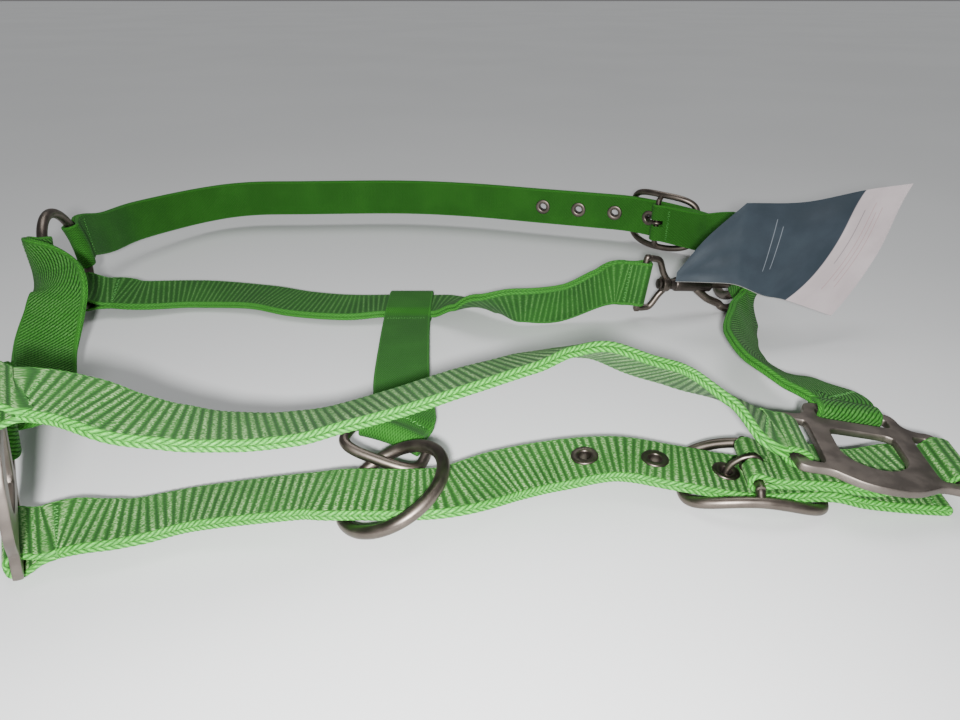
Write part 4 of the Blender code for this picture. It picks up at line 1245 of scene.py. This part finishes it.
def card_material():
    """Printed card: a navy field, a pale strip and plain thin rules, with no lettering."""
    n = Nodes("card_print", 0.45)
    along, up = n.map()
    fibre = n.grain(along, up, 900.0, 900.0, 4.0)
    scuffs = n.grain(along, up, 9.0, 4.0, 5.0)

    def rule(place, wide, start, stop):
        away = n.math("ABSOLUTE", n.math("SUBTRACT", along, place))
        line = n.math("SUBTRACT", 1.0, n.ramp(away, 0.3 * wide, wide))
        reach = n.times(n.ramp(up, start, start + 0.01), n.ramp(up, stop, stop + 0.01, 1.0, 0.0))
        return n.times(line, reach)

    navy = n.mix(n.ramp(scuffs, 0.35, 0.7), rgb(0.026, 0.038, 0.050), rgb(0.034, 0.048, 0.062))
    pale = n.mix(n.ramp(scuffs, 0.35, 0.7), rgb(0.50, 0.43, 0.44), rgb(0.56, 0.49, 0.50))
    base = n.mix(n.ramp(along, 0.797, 0.803), navy, pale)
    grey = rgb(0.35, 0.38, 0.42)
    black = rgb(0.10, 0.08, 0.09)
    red = rgb(0.33, 0.05, 0.06)
    for place, wide, start, stop, share, ink in (
        (0.520, 0.0022, 0.22, 0.80, 0.45, grey),
        (0.548, 0.0022, 0.26, 0.72, 0.45, grey),
        (0.848, 0.0030, 0.34, 0.80, 0.60, black),
        (0.882, 0.0016, 0.14, 0.86, 0.60, red),
        (0.902, 0.0016, 0.22, 0.78, 0.60, red),
        (0.922, 0.0016, 0.18, 0.82, 0.60, red),
    ):
        base = n.mix(n.times(rule(place, wide, start, stop), share), base, ink)
    n.bump(fibre, 0.03 * MM, 0.5)
    return n.set(Base_Color=base)


def edge_material():
    n = Nodes("card_edge", 0.8)
    layers = n.noise(n.solid(), 3000.0, 2.0)
    n.bump(layers, 0.02 * MM, 0.6)
    return n.set(Base_Color=n.mix(layers, rgb(0.30, 0.29, 0.28), rgb(0.55, 0.53, 0.50)))


def build_tag():
    """A folded card tag, lofted between its top and bottom edges."""
    top = [spot(104, -2, 34), spot(120, 7, 50), spot(142, 18, 65.5)]
    far_top = [spot(142, 18, 65.5), spot(174, 20, 65.5), spot(206, 22, 71.5), spot(230, 22, 75)]
    bottom = [spot(103, -5, 30), spot(119, -10, 31.5), spot(132, -13, 31.5)]
    bottom += [spot(145, -18, 27.5), spot(157, -18, 25), spot(185, -13, 14)]
    steps = 16
    rows = 41
    top = smooth_line(top, steps)[:-1] + smooth_line(far_top, steps)
    bottom = smooth_line(bottom, steps)
    columns = len(top)
    half_card = 0.3 * MM
    verts = []
    for side in (-half_card, half_card):
        for k in range(columns):
            ahead = min(k + 1, columns - 1)
            behind = max(k - 1, 0)
            run = (top[ahead] + bottom[ahead] - top[behind] - bottom[behind]).normalized()
            normal = run.cross((top[k] - bottom[k]).normalized()).normalized()
            share = k / (columns - 1)
            drift = 6.0 * ease((share - 0.35) / 0.45) - 2.0 * ease((share - 0.8) / 0.2)
            for j in range(rows):
                up = j / (rows - 1)
                bulge = 6.75 * up * (1.0 - up) ** 2
                bow = 1.1 * MM * math.sin(math.pi * up) * math.sin(2.2 * math.pi * up + 4.0 * share)
                shift = run * (drift * bulge * MM) + normal * (side + bow * ease(share / 0.3))
                verts.append(bottom[k].lerp(top[k], up) + shift)
    faces = []
    uvs = []
    half = columns * rows
    for k in range(columns - 1):
        for j in range(rows - 1):
            a = k * rows + j
            corners = (a, a + rows, a + rows + 1, a + 1)
            spots = ((k, j), (k + 1, j), (k + 1, j + 1), (k, j + 1))
            faces += [tuple(c + half for c in corners), corners[::-1]]
            for u, v in spots + spots[::-1]:
                uvs += [u / (columns - 1), v / (rows - 1)]
    flat = len(faces)
    rim = []
    for k in range(columns - 1):
        rim += [(k * rows, (k + 1) * rows), ((k + 1) * rows + rows - 1, k * rows + rows - 1)]
    for j in range(rows - 1):
        rim += [(j + 1, j), ((columns - 1) * rows + j, (columns - 1) * rows + j + 1)]
    for a, b in rim:
        faces.append((a, b, b + half, a + half))
        uvs += [0.0, 0.0] * 4
    piece = add_mesh("hang_tag_card", verts, faces, uvs, card_material(), ["hang_tag"], 40.0)
    piece.data.materials.append(edge_material())
    for face in piece.data.polygons[flat:]:
        face.material_index = 1


# Stage


def floor_material():
    n = Nodes("floor_paper", 0.75)
    drift = n.noise(n.solid(), 3.0, 2.0)
    return n.set(Base_Color=n.mix(n.ramp(drift, 0.3, 0.7), rgb(0.74, 0.745, 0.75), rgb(0.77, 0.775, 0.78)))


def build_stage():
    """A pale floor, a key light near the camera, a wide soft fill from above, and the camera."""
    reach = 6.0
    mesh = bpy.data.meshes.new("floor")
    corners = [(-reach, -reach, 0.0), (reach, -reach, 0.0), (reach, reach, 0.0), (-reach, reach, 0.0)]
    mesh.from_pydata(corners, [], [(0, 1, 2, 3)])
    mesh.materials.append(floor_material())
    show("floor", mesh)

    world = bpy.data.worlds.new("studio")
    world.use_nodes = True
    sky = world.node_tree.nodes["Background"]
    sky.inputs[0].default_value = rgb(0.80, 0.82, 0.83)
    sky.inputs[1].default_value = 0.22
    bpy.context.scene.world = world

    data = bpy.data.lights.new("key", "AREA")
    data.shape = "DISK"
    data.size = 0.022
    data.energy = 3.6
    key = show("key", data)
    key.location = (0.0, -0.42, 0.19)
    key.rotation_euler = (Vector((0.0, -0.02, 0.0)) - key.location).to_track_quat("-Z", "Y").to_euler()

    sun = bpy.data.lights.new("fill", "SUN")
    sun.energy = 1.0
    sun.angle = math.radians(35.0)
    fill = show("fill", sun)
    fill.rotation_euler = (math.radians(-24.0), math.radians(4.0), 0.0)

    lens = bpy.data.cameras.new("view")
    lens.lens = 27.04
    lens.sensor_width = 36.0
    lens.clip_start = 0.01
    camera = show("view", lens)
    camera.location = (0.0055, -0.35743, 0.1719)
    camera.rotation_euler = (math.radians(62.0), 0.0, 0.0)
    bpy.context.scene.camera = camera


build_straps()
build_hardware()
build_tag()
build_stage()
